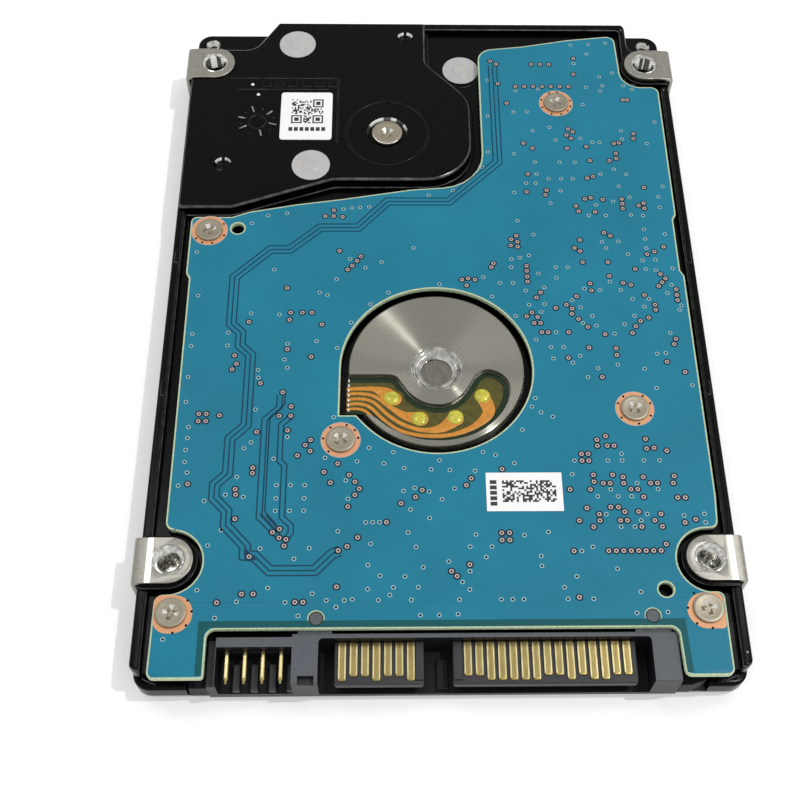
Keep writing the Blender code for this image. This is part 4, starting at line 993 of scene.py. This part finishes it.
# Test points: a copper ring with a dark clearance round it
RINGED_VIAS = [
    # far left
    (-14.4, 13.2), (-13.3, 13.2), (-12.1, 13.1), (-13.3, 14.2), (-9.6, 6.6), (-10.1, 5.9), (-10.7, 5.1),
    (-11.3, 4.5), (-12.4, 7.5), (-19.0, 1.6),
    # far right
    (8.7, 41.5), (9.5, 40.9), *via_row(14.6, 40.9, 1.27, 3), (20.8, 42.1), (20.6, 39.0), (9.6, 37.1),
    *via_row(12.1, 36.6, 1.27, 7), (10.7, 33.4), (27.3, 34.1), (27.9, 34.1), (19.1, 28.6), (19.7, 28.1),
    (18.8, 27.5), (19.4, 26.9), (21.4, 25.4), (18.7, 25.1), (12.7, 26.0), (13.9, 25.1), (25.3, 26.0),
    (26.0, 26.1), (28.2, 27.8), (28.1, 26.9), (25.4, 24.2), (25.4, 23.3), (24.4, 22.9), (21.7, 22.9),
    (13.0, 20.5), (21.9, 20.1), (21.1, 19.8), (28.7, 18.2), (15.4, 17.7), (15.2, 16.9), (12.7, 17.4),
    (20.5, 16.2), (21.3, 16.4), (22.9, 16.1), (25.5, 16.2), (25.5, 15.4), (25.5, 14.6), (28.4, 15.5),
    (27.7, 15.1), (28.4, 14.6), (19.2, 15.0), (19.5, 14.1), (21.7, 14.0), (10.9, 10.0), (10.2, 9.4),
    (11.0, 9.0), (10.1, 8.4), (11.0, 8.2), (19.3, 9.3), (18.5, 8.0), (19.2, 7.5), (22.6, 10.5),
    (23.4, 10.0), (30.3, 8.2), (28.0, 7.0), (29.0, 7.4), (12.0, 5.1), (12.0, 4.3), (12.0, 3.4), (12.0, 2.6),
    (19.4, 5.7), (22.7, 5.7), (22.7, 3.5), (24.4, 2.4), (25.4, 2.1), (20.2, 1.2), (20.1, 2.3), (26.2, 4.6),
    (29.4, 3.8), (30.0, 3.1), (29.5, 2.5), (29.0, 1.9), (31.2, 1.4), (31.2, 0.5), (27.0, 0.5), (7.7, 5.5),
    (7.4, 4.9), (13.6, 0.9), (13.0, 0.1), (3.5, 2.9), (4.3, 3.1), (5.2, 2.9), (4.1, 2.0), (18.2, 0.3),
    # near left
    (-18.4, -2.2), (-16.9, -2.2), (-15.7, -2.2), (-18.5, -3.3), (-23.6, -3.6), (-14.4, -4.0), (-18.6, -7.7),
    (-15.6, -8.8), (-25.1, -8.6), (-24.8, -9.8), (-25.3, -10.6), (-21.7, -12.6), (-18.9, -13.9),
    (-17.8, -15.9), (-28.9, -16.9), (-28.0, -16.9), (-26.4, -17.1), (-28.9, -17.9), (-28.0, -17.9),
    (-19.2, -17.2), (-17.8, -17.2), (-18.1, -19.2), (-21.8, -19.4), (-15.3, -20.5), (-15.9, -21.2),
    (-15.3, -22.0), (-16.8, -22.6), (-12.0, -23.7), (-22.0, -24.2), (-22.0, -24.9), (-13.6, -24.8),
    (-10.6, -25.2), (-12.8, -26.2), (-9.9, -26.1), (-9.4, -27.0), (-29.5, -26.3), (-23.9, -27.0),
    (-23.8, -27.7), (-9.9, -27.8), (-10.7, -29.3), (-4.5, -28.9), (-2.0, -27.2), (-2.8, -28.1),
    (-23.7, -30.8), (-6.2, -31.3), (-18.5, -32.1), (-19.3, -32.5), (-18.5, -33.2), (-17.7, -33.4),
    (-17.9, -34.2), (-9.5, -33.2), (-10.7, -34.3), (-11.7, -34.8), (-21.8, -35.5), (-11.8, -39.2),
    (-21.1, -40.0), (-22.4, -40.0), (-25.1, -41.0), (-16.4, -41.0), (-15.5, -41.0),
    # near right
    (12.3, -2.2), (11.6, -2.8), (13.0, -2.9), (12.5, -3.8), (13.3, -3.8), (13.4, -5.2), (14.2, -5.2),
    (15.4, -1.5), (16.8, -1.0), (17.5, -1.6), (17.4, -2.4), (18.2, -3.2), (19.3, -4.4), (16.8, -5.2),
    (21.4, -5.5), (26.1, -3.5), (25.4, -4.3), (24.9, -5.3), (27.2, -3.0), (28.2, -1.0), (28.2, -1.8),
    (31.2, -0.3), (30.3, -6.2), (30.0, -7.0), (19.2, -7.5), (16.5, -9.0), (22.6, -7.6), (22.6, -8.6),
    (28.8, -9.6), (20.5, -11.8), (30.9, -11.1), (20.2, -20.1), (19.1, -20.6), (25.0, -20.5), (19.1, -21.4),
    (20.3, -21.4), (21.1, -21.4), (25.0, -21.8), (25.9, -21.7), (27.4, -22.1), (17.1, -22.5), (17.9, -22.5),
    (17.1, -23.4), (17.9, -23.4), (7.5, -24.5), (3.8, -25.7), (3.2, -26.6), (18.3, -25.3), (18.3, -26.2),
    (20.6, -25.3), (21.8, -25.6), (24.2, -25.6), (27.9, -25.5), (27.7, -26.4), (19.4, -26.4), (20.2, -26.4),
    (21.8, -26.4), (25.0, -26.4), (25.8, -26.4), (15.4, -27.2), (17.8, -27.2), (22.6, -27.2), (23.4, -27.2),
    (24.0, -28.2), (28.0, -28.3), (28.9, -28.3), (17.2, -29.6), (20.0, -29.5), (20.9, -29.5), (21.6, -30.1),
    (23.2, -30.1), (18.6, -30.4), (25.8, -30.4), (16.2, -31.2), (18.6, -31.2), (21.0, -31.2), (21.8, -31.2),
    (25.0, -31.2), (29.8, -31.1), (28.5, -31.5), (17.8, -32.0), (23.4, -32.0), (25.8, -32.0), (7.1, -32.7),
    (8.0, -32.7), (7.1, -33.6), (8.0, -33.6), (26.0, -34.2), (15.3, -35.0), *via_row(19.3, -35.0, 0.86, 8),
    (3.3, -36.6), (1.2, -37.4), (1.8, -38.0), (15.5, -40.6),
]


def vias():
    rings, copper, clear, centres = Solid(), Solid(), Solid(), Solid()
    for spot in SMALL_VIAS:
        over_mask(rings, circle(spot, 0.27, 16), 0.012, [circle(spot, 0.15, 16)])
        over_mask(centres, circle(spot, 0.15, 16), 0.012)
    for spot in RINGED_VIAS:
        over_mask(clear, circle(spot, 0.45, 20), 0.012)
        over_mask(copper, circle(spot, 0.27, 16), 0.024, [circle(spot, 0.13, 16)])
        over_mask(centres, circle(spot, 0.13, 16), 0.024)
    piece("via_rings", rings, [VIA_RING])
    piece("via_clearances", clear, [CLEARANCE])
    piece("via_coppers", copper, [VIA_COPPER])
    # The via centres are the painted shade of their holes.
    piece("via_centres", centres, [HOLE_PAINTED_SHADE])


def pad_outlines():
    """The bare copper round each board screw; at the near corners it runs to the board's edge."""
    outlines = [circle(spot, 2.3) for spot in BOARD_SCREWS[:4]]
    left, right = BOARD_SCREWS[4], BOARD_SCREWS[5]
    outlines.append(rounded([(left[0] - 1.9, left[1] - 2.35, 1.6), (left[0] + 2.4, left[1] - 2.35, 2.2),
                             (left[0] + 2.4, left[1] + 2.1, 2.1), (left[0] - 1.9, left[1] + 2.1, 0.8)]))
    outlines.append(rounded([(right[0] - 2.4, right[1] - 2.35, 2.2), (31.7, right[1] - 2.35, 0.5),
                             (31.74, -40.13, 0.9), (right[0] - 2.4, -40.13, 2.1)]))
    return outlines


# Which ways from each board screw the vias in its pad lie
PAD_DOTS = [
    (31, 338, 284, 247, 218), (114, 82, 15, 344, 319, 287, 250, 201, 162), (126, 57, 159, 21, 216, 332, 279),
    (127, 71, 38, 7, 175, 228), (40, 5, 322, 280), (128, 178, 230, 275),
]


def screw_pads():
    """Copper round the board's screws with small vias in it; the round ones have a pale ring."""
    pads, dots = Solid(), Solid()
    for i, (spot, outline) in enumerate(zip(BOARD_SCREWS, pad_outlines())):
        over_mask(pads, outline, 0.012, [circle(spot, 1.05, 32)])
        if i < 4:
            over_mask(pads, circle(spot, 2.4), 0.012, [circle(spot, 2.31)], 1)
        for angle in PAD_DOTS[i]:
            over_mask(dots, circle(polar(spot, 2.12 if i < 4 else 2.3, angle), 0.15, 12), 0.024)
    piece("screw_pads", pads, [COPPER, VIA_COPPER])
    # The pad vias' dots are the painted shade of their holes.
    piece("screw_pad_vias", dots, [HOLE_PAINTED_SHADE])


# --------------------------------------------------------------------- screws

def cross(centre, z, reach, turn):
    """The two crossed wedges of a Phillips recess, from its floor up past the head's face."""
    wedges = []
    for quarter in (turn, turn + 90):
        flat = strip([polar(centre, reach, quarter), polar(centre, reach, quarter + 180)], 0.66)
        floor = [(centre[0] + (x - centre[0]) * 0.4, centre[1] + (y - centre[1]) * 0.4) for x, y in flat]
        points = [(x, y, z - 0.32) for x, y in floor] + [(x, y, z + 0.1) for x, y in flat]
        sides = [[i, (i + 1) % 4, 4 + (i + 1) % 4, 4 + i] for i in range(4)]
        wedges.append(Solid().shell(points, [[3, 2, 1, 0], [4, 5, 6, 7], *sides], 0))
    return wedges


def flat_screw(node, turn):
    """A pan head with a Phillips recess turned by some degrees."""
    low, high = corners(node)
    centre, radius, z = middle(node), (high.x - low.x) / 2, high.z
    shank, head = 0.65, z - 0.30
    stem = [(0, low.z), (shank, low.z), (shank, head), (radius, head)]
    rim = [(radius, z - 0.1), (radius - 0.03, z - 0.03), (radius - 0.1, z), (1.35, z), (1.28, z - 0.02)]
    screw = as_object(f"{node}_head", Solid().turned([*stem, *rim, (0, z - 0.02)], centre, 48))
    shaped(screw, *cut(*cross(centre, z, 1.08, turn)))

    def screw_paint(place, normal):
        """A cross with painted highlight on its far and side walls, painted shade on its near walls and a
        plain floor, and a painted glint on the pivot's rim.
        """
        away, way = direction(place, centre)
        if node == "pivot_screw" and 0.2 < normal.z < 0.99 and away > radius - 0.12 and -170 < way < -45:
            return NICKEL_LIT
        if away > 1.15 or not z - 0.35 < place[2] < z - 0.021 or normal.z > 0.9:
            return NICKEL
        return NICKEL_LIT if normal.y < 0.1 else NICKEL_PAINTED_SHADE

    show_painted(screw, screw_paint, [NICKEL, NICKEL_PAINTED_SHADE, NICKEL_LIT], [node])


def cover_screw(node):
    """Countersunk from below; at the rear its hole shows on the ledge, with the threads above its tip."""
    centre, head, tip = middle(node), bottom(node), top(node)
    rear = centre[1] > 0
    if rear:
        tip -= 1.2
    profile = [(0, head), (1.3, head), (1.42, head + 0.07), (1.0, 0.45), (0.86, 0.55)]
    for i in range(round((tip - 0.9) / 0.25)):
        profile += [(0.9, 0.7 + 0.25 * i), (0.76, 0.82 + 0.25 * i)]
    profile += [(0.72, tip - 0.05), (0.5, tip), (0, tip)]
    screw = Solid().turned(profile, centre, 32)
    if rear:
        ridges = [(0.74 + 0.16 * (i % 2), tip + 0.05 + 0.13 * i) for i in range(8)]
        sleeve = [(1.0, tip + 0.05), (1.0, LEDGE_TOP + 0.02), (0.95, LEDGE_TOP + 0.05), *ridges[::-1]]
        screw.turned(sleeve, centre, 32, 1)
    piece(f"{node}_thread", screw, [NICKEL, CLIP_BORE], [node])


# --------------------------------------------------------------------- labels

def code_square(x0, y0, cell, columns, rows, finders, seed):
    """A made-up pattern of cells that holds no data, as runs of dark cells."""
    draw = random.Random(seed)
    dark = [[draw.random() < 0.5 for _ in range(columns)] for _ in range(rows)]
    for cx, cy in finders:
        for r in range(max(0, cy - 1), min(rows, cy + 8)):
            for c in range(max(0, cx - 1), min(columns, cx + 8)):
                ring = max(abs(c - cx - 3), abs(r - cy - 3))
                dark[r][c] = ring in (0, 1, 3)
    runs = []
    for r in range(rows):
        c = 0
        while c < columns:
            start = c
            while c < columns and dark[r][c]:
                c += 1
            if c > start:
                runs.append(box(x0 + start * cell, x0 + c * cell, y0 + r * cell, y0 + (r + 1) * cell))
            c += 1
    return runs


def stickers():
    """The three seals, each a little raised at its middle, and the two labels."""
    for i, spot in enumerate(SEALS, 1):
        node = f"seal_sticker_{i}"
        low, high = bottom(node), top(node)
        dome = [(1.3, 0), (1.2, 0.03), (1.1, 0.1), (0.95, 0.15), (0.7, 0.18), (0.35, 0.17), (0, 0.165)]
        rim = [(0, low), (2.6, low), (2.6, high - 0.03), (2.56, high)]
        disc = Solid().turned(rim + raised(dome, high), spot, 64)
        piece(f"seal_disc_{i}", disc, [SEAL], [node])
    square = code_square(-19.6, 29.25, 0.212, 21, 21, [(14, 0), (0, 0), (14, 14)], 4)
    print_label("base_label", 0.45, square, (-19.9, -14.6, 27.85, 28.55), 7)
    oblong = code_square(7.4, -28.85, 0.235, 27, 12, [], 9)
    print_label("board_label", 0.1, oblong, (5.95, 6.75, -29.3, -25.8), 5)


def print_label(node, corner, runs, bar, count):
    """A sticker with its code square, and a plain bar broken into marks where it had print."""
    low, high = corners(node)
    outline = rounded_box(low.x, high.x, low.y, high.y, corner, 5)
    film = Solid().slab(outline, low.z, high.z - 0.012, edge=0.02, steps=2)
    piece(f"{node}_film", film, [LABEL], [node])
    x0, x1, y0, y1 = bar
    marks = []
    for i in range(count):
        if y1 - y0 > x1 - x0:
            step = (y1 - y0) / count
            marks.append(box(x0, x1, y0 + step * i, y0 + step * (i + 0.72)))
        else:
            step = (x1 - x0) / count
            marks.append(box(x0 + step * i, x0 + step * (i + 0.72), y0, y1))
    ink = Solid()
    for mark in runs + marks:
        ink.slab(mark, high.z - 0.02, high.z - 0.004)
    piece(f"{node}_print", ink, [INK])


# ------------------------------------------------------------------ connector

PITCH = 1.27
# The place of the first contact, their count, and which of them reach further out
CONTACT_ROWS = {
    "signal_contacts": (-11.1, 7, (1, 4, 7)),
    "power_contacts": (2.87, 15, (3, 4, 5, 6, 7, 10, 12, 13)),
}
CONTACT_TOP = top("signal_contacts")
TONGUES = [(-12.0, -2.0), (1.15, 21.75)]
TONGUE_LOW, TONGUE_TOP = 3.1, 4.25
JUMPER_X = [-23.85 + 2 * i for i in range(4)]


def connector():
    """A block with a bay for the plugs and one for the jumper pins."""
    block = Solid().slab(box(-25.9, 26.3, -50.0, -44.4), 0.8, 5.9, edge=0.14, foot=0.14)
    housing = as_object("connector_body", block)
    shaped(housing, *cut(*connector_bays()), *join(contact_tongues(), connector_keys()),
           *cut(contact_slots()), *join(connector_ears()))
    materials = [PLASTIC, PLASTIC_PAINTED_DEEP_SHADE, PLASTIC_SHADE]
    show_painted(housing, connector_paint, materials, ["connector_housing"])


def connector_bays():
    """The two bays, and the steps in the block's back, front and left end."""
    bays = Solid().slab(box(-24.9, -16.6, NEAR_SIDE, -45.9), 2.0, ABOVE)
    plug_bay = [(-13.7, NEAR_SIDE), (23.3, NEAR_SIDE), (23.3, -44.95, 0.5), (-13.7, -44.95, 0.5)]
    bays.slab(rounded(plug_bay), 1.6, ABOVE)
    steps = Solid().slab(box(-27, -16.6, -44.8, -44), 3.0, ABOVE)
    steps.slab(box(-15.9, -14.1, NEAR_SIDE, -49.2), 5.0, ABOVE)
    left_end = Solid().slab(box(-27, -24.95, NEAR_SIDE, -44), 4.7, ABOVE)
    return bays, steps, left_end


def contact_tongues():
    tongues = Solid()
    for first, last in TONGUES:
        outline = rounded([(first, -49.75, 0.4), (last, -49.75, 0.4), (last, -44.7), (first, -44.7)])
        tongues.slab(outline, TONGUE_LOW, TONGUE_TOP, edge=0.16, foot=0.16)
    return tongues


def connector_keys():
    """The keys at the tongues' ends and between them, and the ribs beside the jumper pins."""
    keys = Solid()
    for x0, x1, y0, y1, low, high in [
        (-3.0, -2.05, -49.3, -44.8, TONGUE_TOP - 0.2, TONGUE_TOP + 0.25),
        (1.2, 2.2, -49.3, -44.8, TONGUE_TOP - 0.2, TONGUE_TOP + 0.25),
        (-0.6, 0.7, -49.6, -46.2, 1.4, 2.15),
        *[(x + 0.62, x + 1.42, -49.9, -46.9, 1.8, 3.0) for x in JUMPER_X],
    ]:
        keys.slab(rounded_box(x0, x1, y0, y1, 0.1, 2), low, high, edge=0.1, steps=2)
    return keys


def contact_slots():
    """The slots in the bays' back wall, one behind each contact and one behind the jumper pins."""
    slots = Solid()
    for first, count, _ in CONTACT_ROWS.values():
        for i in range(count):
            x = first + PITCH * i
            slots.slab(box(x - 0.55, x + 0.55, -45.5, -44.5), TONGUE_TOP - 0.05, CONTACT_TOP + 0.55)
    return slots.slab(box(-24.7, -17.0, -46.5, -45.3), 3.85, 4.65)


def connector_ears():
    """The ears under the board with the pegs that hold it, and the feet at both ends."""
    ears = Solid()
    for x0, x1 in ((-16.0, -12.2), (21.6, 25.6)):
        ears.slab(box(x0, x1, -44.7, -42.0), 5.2, 5.8)
    right_foot = [(26.1, -49.8), (27.8, -49.8), (29.5, -49.2), (29.5, -48.3), (26.1, -48.3)]
    for foot in (box(-28.0, -25.7, -49.8, -48.3), right_foot):
        ears.slab(foot, 0.9, 3.5, edge=0.1, steps=2)
    for peg in PEGS:
        ears.turned([(0, 5.6), (0.76, 5.6), (0.76, 6.42), (0.68, 6.5), (0, 6.5)], peg, 32)
    return ears


def connector_paint(place, normal):
    """Painted shade: darkest in the bays and on the feet, and darker on the front and the tongues than on
    top.
    """
    x, y, z = place
    upright = abs(normal.z) < 0.4
    if z < 2.2 or (upright and y > -49.6) or (z < 3.6 and abs(x) > 26.1):
        return PLASTIC_PAINTED_DEEP_SHADE
    return PLASTIC_SHADE if upright or z < 5.0 else PLASTIC


def contacts(node):
    """Each contact is its own strip, rounded over at its tip, on a rail inside the housing."""
    first, count, long_ones = CONTACT_ROWS[node]
    low, high = bottom(node), top(node)
    back, half = -44.62, 0.47
    strips = Solid()
    for i in range(count):
        x = first + PITCH * i
        tip = -49.35 if i + 1 in long_ones else -48.85
        outline = [(x - half, tip, 0.24), (x + half, tip, 0.24), (x + half, back), (x - half, back)]
        strips.slab(rounded(outline, 4), low, high, edge=0.09)
        # Thin strips of brighter gold along each contact's sides: painted highlights.
        for edge in (x - 0.42, x + 0.26):
            strips.slab(box(edge, edge + 0.16, tip + 0.25, -45.0), high - 0.05, high + 0.015, paint=1)
        if i:
            strips.slab(box(x - PITCH + 0.3, x - 0.3, -44.84, -44.64), low + 0.02, high - 0.02)
    piece(f"{node}_strips", strips, [GOLD, GOLD_PAINTED_HIGHLIGHT], [node])


def jumper_pins():
    """Square pins with a tapered end, each with a painted glint along its top."""
    node = "jumper_pins"
    low, high = bottom(node), top(node)
    taper = [(0.25, -49.05), (0.11, -49.5), (-0.11, -49.5), (-0.25, -49.05)]
    pins = Solid()
    for x in JUMPER_X:
        outline = [(x + across, y) for across, y in [(-0.25, -45.45), (0.25, -45.45), *taper]]
        pins.slab(outline, low, high, edge=0.08, foot=0.08)
        pins.slab(box(x - 0.13, x + 0.13, -48.9, -45.6), high - 0.05, high + 0.015, paint=1)
    piece("jumper_posts", pins, [GOLD, GOLD_PAINTED_HIGHLIGHT], [node])


# --------------------------------------------------------------- spindle motor

def flex_shape(inset_by, tail=-13.5):
    """The kidney of flex film over the disc, with its tail out to x = tail on the left."""
    kidney = smooth([
        (-7.0, -11.1), (-5.7, -11.15), (-4.9, -11.5), (-4.2, -12.5), (-3.2, -13.9), (-1.7, -15.0),
        (0.0, -15.4), (1.6, -15.1), (3.1, -13.9), (4.1, -12.4), (4.9, -11.1), (6.2, -10.4), (7.7, -10.8),
        (8.8, -11.9), (9.1, -13.4), (8.6, -15.3), (7.3, -17.3), (5.2, -19.1), (2.7, -20.1), (0.0, -20.4),
        (-3.0, -20.0), (-5.9, -18.6), (-7.8, -17.1), (-9.2, -16.6),
    ], 4)
    return inset(anticlockwise([(tail, -11.1), *kidney, (tail, -16.5)]), inset_by)


FACING = (SPINDLE[0] + 1.4, SPINDLE[1] + 1.1)    # the lathe marks' own centre


def motor():
    """The turned plate with a recess for the flex, the dish in it and the sleeve's end in the dish."""
    rim = raised([(MOTOR_RADIUS, -0.25), (10.85, -0.06), (10.7, 0)], MOTOR_FACE)
    collar = raised([(3.75, 0), (3.68, 0.04), (3.25, 0.04), (3.18, 0)], MOTOR_FACE)
    profile = [(3.0, 3.0), (3.8, 3.0), (3.8, 4.55), (MOTOR_RADIUS, 4.55), *rim, *collar,
               (3.18, 5.05), (3.0, 5.05)]
    plate = as_object("motor_plate", Solid().turned(profile, SPINDLE, 144))
    shaped(plate, *cut(Solid().slab(flex_shape(0.0, -12.5), 5.45, ABOVE)))
    centre_origin(plate, FACING)
    show(plate, [TURNED], ["motor_base"], sharp=20)
    dish = raised([(3.18, -0.02), (3.05, -0.08), (2.9, -0.3), (2.82, -0.33), (2.55, -0.62), (2.45, -0.64),
                   (2.1, -0.95), (1.95, -1.0)], MOTOR_FACE)
    bowl = Solid().turned([*dish, (1.95, 4.9), (3.18, 4.9)], SPINDLE, 96)
    # The dish's light and dark patches are painted glints.
    piece("motor_dish", bowl, [DISH_PAINTED_GLINTS])
    end = [(0, 5.1), (1.9, 5.1), (1.94, 5.06), (1.94, 2.5), (1.35, 2.5), (1.35, 4.7), (0, 4.7)]
    cap = Solid().turned(end, SPINDLE, 64)
    piece("bearing_end_cap", cap, [HUB_END], ["bearing_sleeve"])


def centre_origin(thing, spot):
    """Moves a piece's own origin to a spot in plan, so that its rings are centred there."""
    shift = Vector((spot[0], spot[1], 0)) * MM
    thing.data.transform(Matrix.Translation(-shift))
    thing.location = shift


# Each lead's points, and its width at each of them; the wide ends lie under the solder
FLEX_LEADS = [
    ([(-11.3, -12.95), (-9.5, -12.85), (-7.8, -12.9), (-6.4, -13.5), (-5.3, -14.3)],
     (0.5, 0.5, 0.7, 1.7, 1.9)),
    ([(-11.3, -13.65), (-9.4, -13.55), (-7.6, -14.0), (-5.6, -15.6), (-3.9, -16.7), (-2.1, -17.1)],
     (0.42, 0.42, 0.45, 0.6, 1.1, 2.0)),
    ([(-11.3, -14.4), (-9.4, -14.3), (-7.8, -14.8), (-6.0, -16.6), (-4.0, -18.0), (-1.6, -18.7),
      (0.5, -18.4), (2.2, -17.1)],
     (0.42, 0.42, 0.42, 0.45, 0.5, 0.6, 1.2, 2.0)),
    ([(-11.3, -15.1), (-9.6, -15.0), (-8.2, -15.5), (-6.6, -17.2), (-4.4, -18.8), (-1.4, -19.5),
      (1.8, -19.3), (4.6, -18.1), (6.3, -16.2), (5.7, -14.1)],
     (0.42, 0.42, 0.42, 0.42, 0.45, 0.5, 0.55, 0.8, 1.5, 1.8)),
    ([(-11.3, -15.8), (-9.9, -15.7), (-8.7, -16.1), (-7.3, -17.6)], (0.36, 0.36, 0.36, 0.3)),
]
SOLDER_SPOTS = [(-5.6, -14.2), (-2.2, -17.1), (2.2, -16.9), (5.6, -13.9)]
LEAD_STEPS = 8


def motor_flex():
    """The film, the thin parts, leads and solder that show through it, and a painted shadow and pale marks at
    its tail.
    """
    low, high = bottom("motor_flex"), top("motor_flex")
    film = Solid().slab(flex_shape(0.15), low, high, edge=0.03)
    piece("flex_film_sheet", film, [FLEX], ["motor_flex"])
    leads, solder, halo, stitches = Solid(), Solid(), Solid(), Solid()
    for spots, widths in FLEX_LEADS:
        line = smooth(spots, LEAD_STEPS)
        leads.slab(strip(line, widths_along(widths, len(line))), high - 0.03, high + 0.03, edge=0.02, steps=2)
        end = widths[-1] / 2
        if end > 0.5:
            halo.slab(circle(spots[-1], end + 0.35, 32), high - 0.03, high + 0.012)
            leads.slab(circle(spots[-1], end, 32), high - 0.03, high + 0.034, edge=0.02, steps=2)
    halo.slab(flex_shape(0.9), high - 0.03, high + 0.008)
    dome = [(r, high + 0.3 * h) for r, h in arc((0, 0), 1.0, 0, 75, 5)]
    for spot in SOLDER_SPOTS:
        solder.turned([(0, high), *dome, (0, high + 0.3)], spot, 32)
    # A painted shadow where the film's tail passes under the board.
    shade = Solid().slab(box(-12.1, -11.12, -16.3, -11.3), high + 0.02, high + 0.045)
    for i in range(7):
        stitches.slab(box(-10.95, -10.8, -16.1 + 0.7 * i, -15.75 + 0.7 * i), high, high + 0.05)
    piece("flex_film_thin", halo, [FLEX_HALO])
    piece("flex_leads", leads, [FLEX_TRACE])
    piece("flex_solder", solder, [SOLDER])
    piece("flex_tail_shade", shade, [HOLE_PAINTED_SHADE])
    piece("flex_edge_marks", stitches, [LABEL])


def widths_along(widths, count):
    """The width at each of count points, which lie LEAD_STEPS to a stretch."""
    made = []
    for i in range(count):
        at = i / LEAD_STEPS
        k = min(int(at), len(widths) - 2)
        made.append(widths[k] + (widths[k + 1] - widths[k]) * (at - k))
    return made


# ---------------------------------------------------------------------- cover

def cover():
    """The stamped lid underneath: its plate, a raised panel with a label, and the countersinks."""
    plate = Solid().slab(rounded_box(-34.3, 34.3, -49.7, 49.9, 2.0), 0.14, 0.5, edge=0.08, foot=0.14)
    panel = Solid().slab(rounded_box(-31.5, 31.5, -45.0, 44.5, 3), 0.03, 0.3, foot=0.1)
    lid = as_object("cover_lid", plate)
    sinks = Solid()
    for spot in COVER_SCREWS:
        sinks.turned([(0, -1), (1.6, -1), (1.6, 0.12), (1.02, 0.5), (1.02, 1), (0, 1)], spot, 32)
    shaped(lid, *join(panel), *cut(sinks))
    show(lid, [COVER], ["top_cover"])
    film = Solid().slab(rounded_box(-28.5, 28.5, -32.0, 38.0, 1.5), 0.0, 0.05)
    piece("cover_label_film", film, [LABEL])


# ---------------------------------------------------- stage, light and camera

def area_light(name, place, size, power):
    """A white panel turned towards the drive; place and size are in metres."""
    lamp = bpy.data.lights.new(name, "AREA")
    lamp.shape = "RECTANGLE"
    lamp.size, lamp.size_y = size
    lamp.energy = power
    thing = bpy.data.objects.new(name, lamp)
    thing.location = place
    thing.rotation_euler = (-Vector(place)).to_track_quat("-Z", "Y").to_euler()
    bpy.context.scene.collection.objects.link(thing)


def stage():
    """A white floor and a bright white world, with one small key light and two strips."""
    floor = Solid().slab(box(-1500, 1500, -1500, 1500), -1.0, -0.02)
    ground = as_object("studio_floor", floor)
    white = plain("floor_white", (0.97, 0.97, 0.97), 0.8, size=40, tone=0.01, depth=0.0,
                  Emission_Color=(1.0, 1.0, 1.0, 1.0), Emission_Strength=0.16)
    ground.data.materials.append(white)
    world = bpy.data.worlds.new("studio")
    world.use_nodes = True
    background = world.node_tree.nodes["Background"]
    background.inputs["Color"].default_value = (1.0, 1.0, 1.0, 1.0)
    background.inputs["Strength"].default_value = 0.74
    bpy.context.scene.world = world
    area_light("key", (0.29, -0.005, 0.62), (0.014, 0.014), 1.25)
    area_light("strip_left", (-0.18, 0.23, 0.63), (0.05, 0.25), 0.2)
    area_light("strip_right", (0.27, 0.22, 0.60), (0.05, 0.25), 0.2)


def camera():
    """The viewer's place above the connector's side, looking down at the board."""
    data = bpy.data.cameras.new("view")
    data.sensor_width = 36.0
    data.lens = 56.29
    data.shift_x, data.shift_y = -0.0316, -0.0013
    data.clip_start, data.clip_end = 0.01, 10.0
    thing = bpy.data.objects.new("view", data)
    turn = (Matrix.Rotation(-0.0023739, 4, "Z") @ Matrix.Rotation(0.5206481, 4, "X")
            @ Matrix.Rotation(-0.0227309, 4, "Y"))
    thing.matrix_world = Matrix.Translation(Vector((-5.136, -90.929, 139.220)) * MM) @ turn
    bpy.context.scene.collection.objects.link(thing)
    bpy.context.scene.camera = thing
    bpy.context.scene.view_settings.view_transform = "Standard"


def build():
    camera()
    stage()
    paint_cad_nodes()
    base_deck()
    base_relief()
    cover()
    for place in CLIP_PLACES:
        mounting_clip(*place)
    circuit_board()
    board_bands()
    board_traces()
    vias()
    screw_pads()
    for i, turn in enumerate((20, 65, 30, 48, 80, 12), 1):
        flat_screw(f"board_screw_{i}", turn)
    flat_screw("pivot_screw", 35)
    for i in range(1, 5):
        cover_screw(f"cover_screw_{i}")
    stickers()
    connector()
    for node in CONTACT_ROWS:
        contacts(node)
    jumper_pins()
    motor()
    motor_flex()


build()
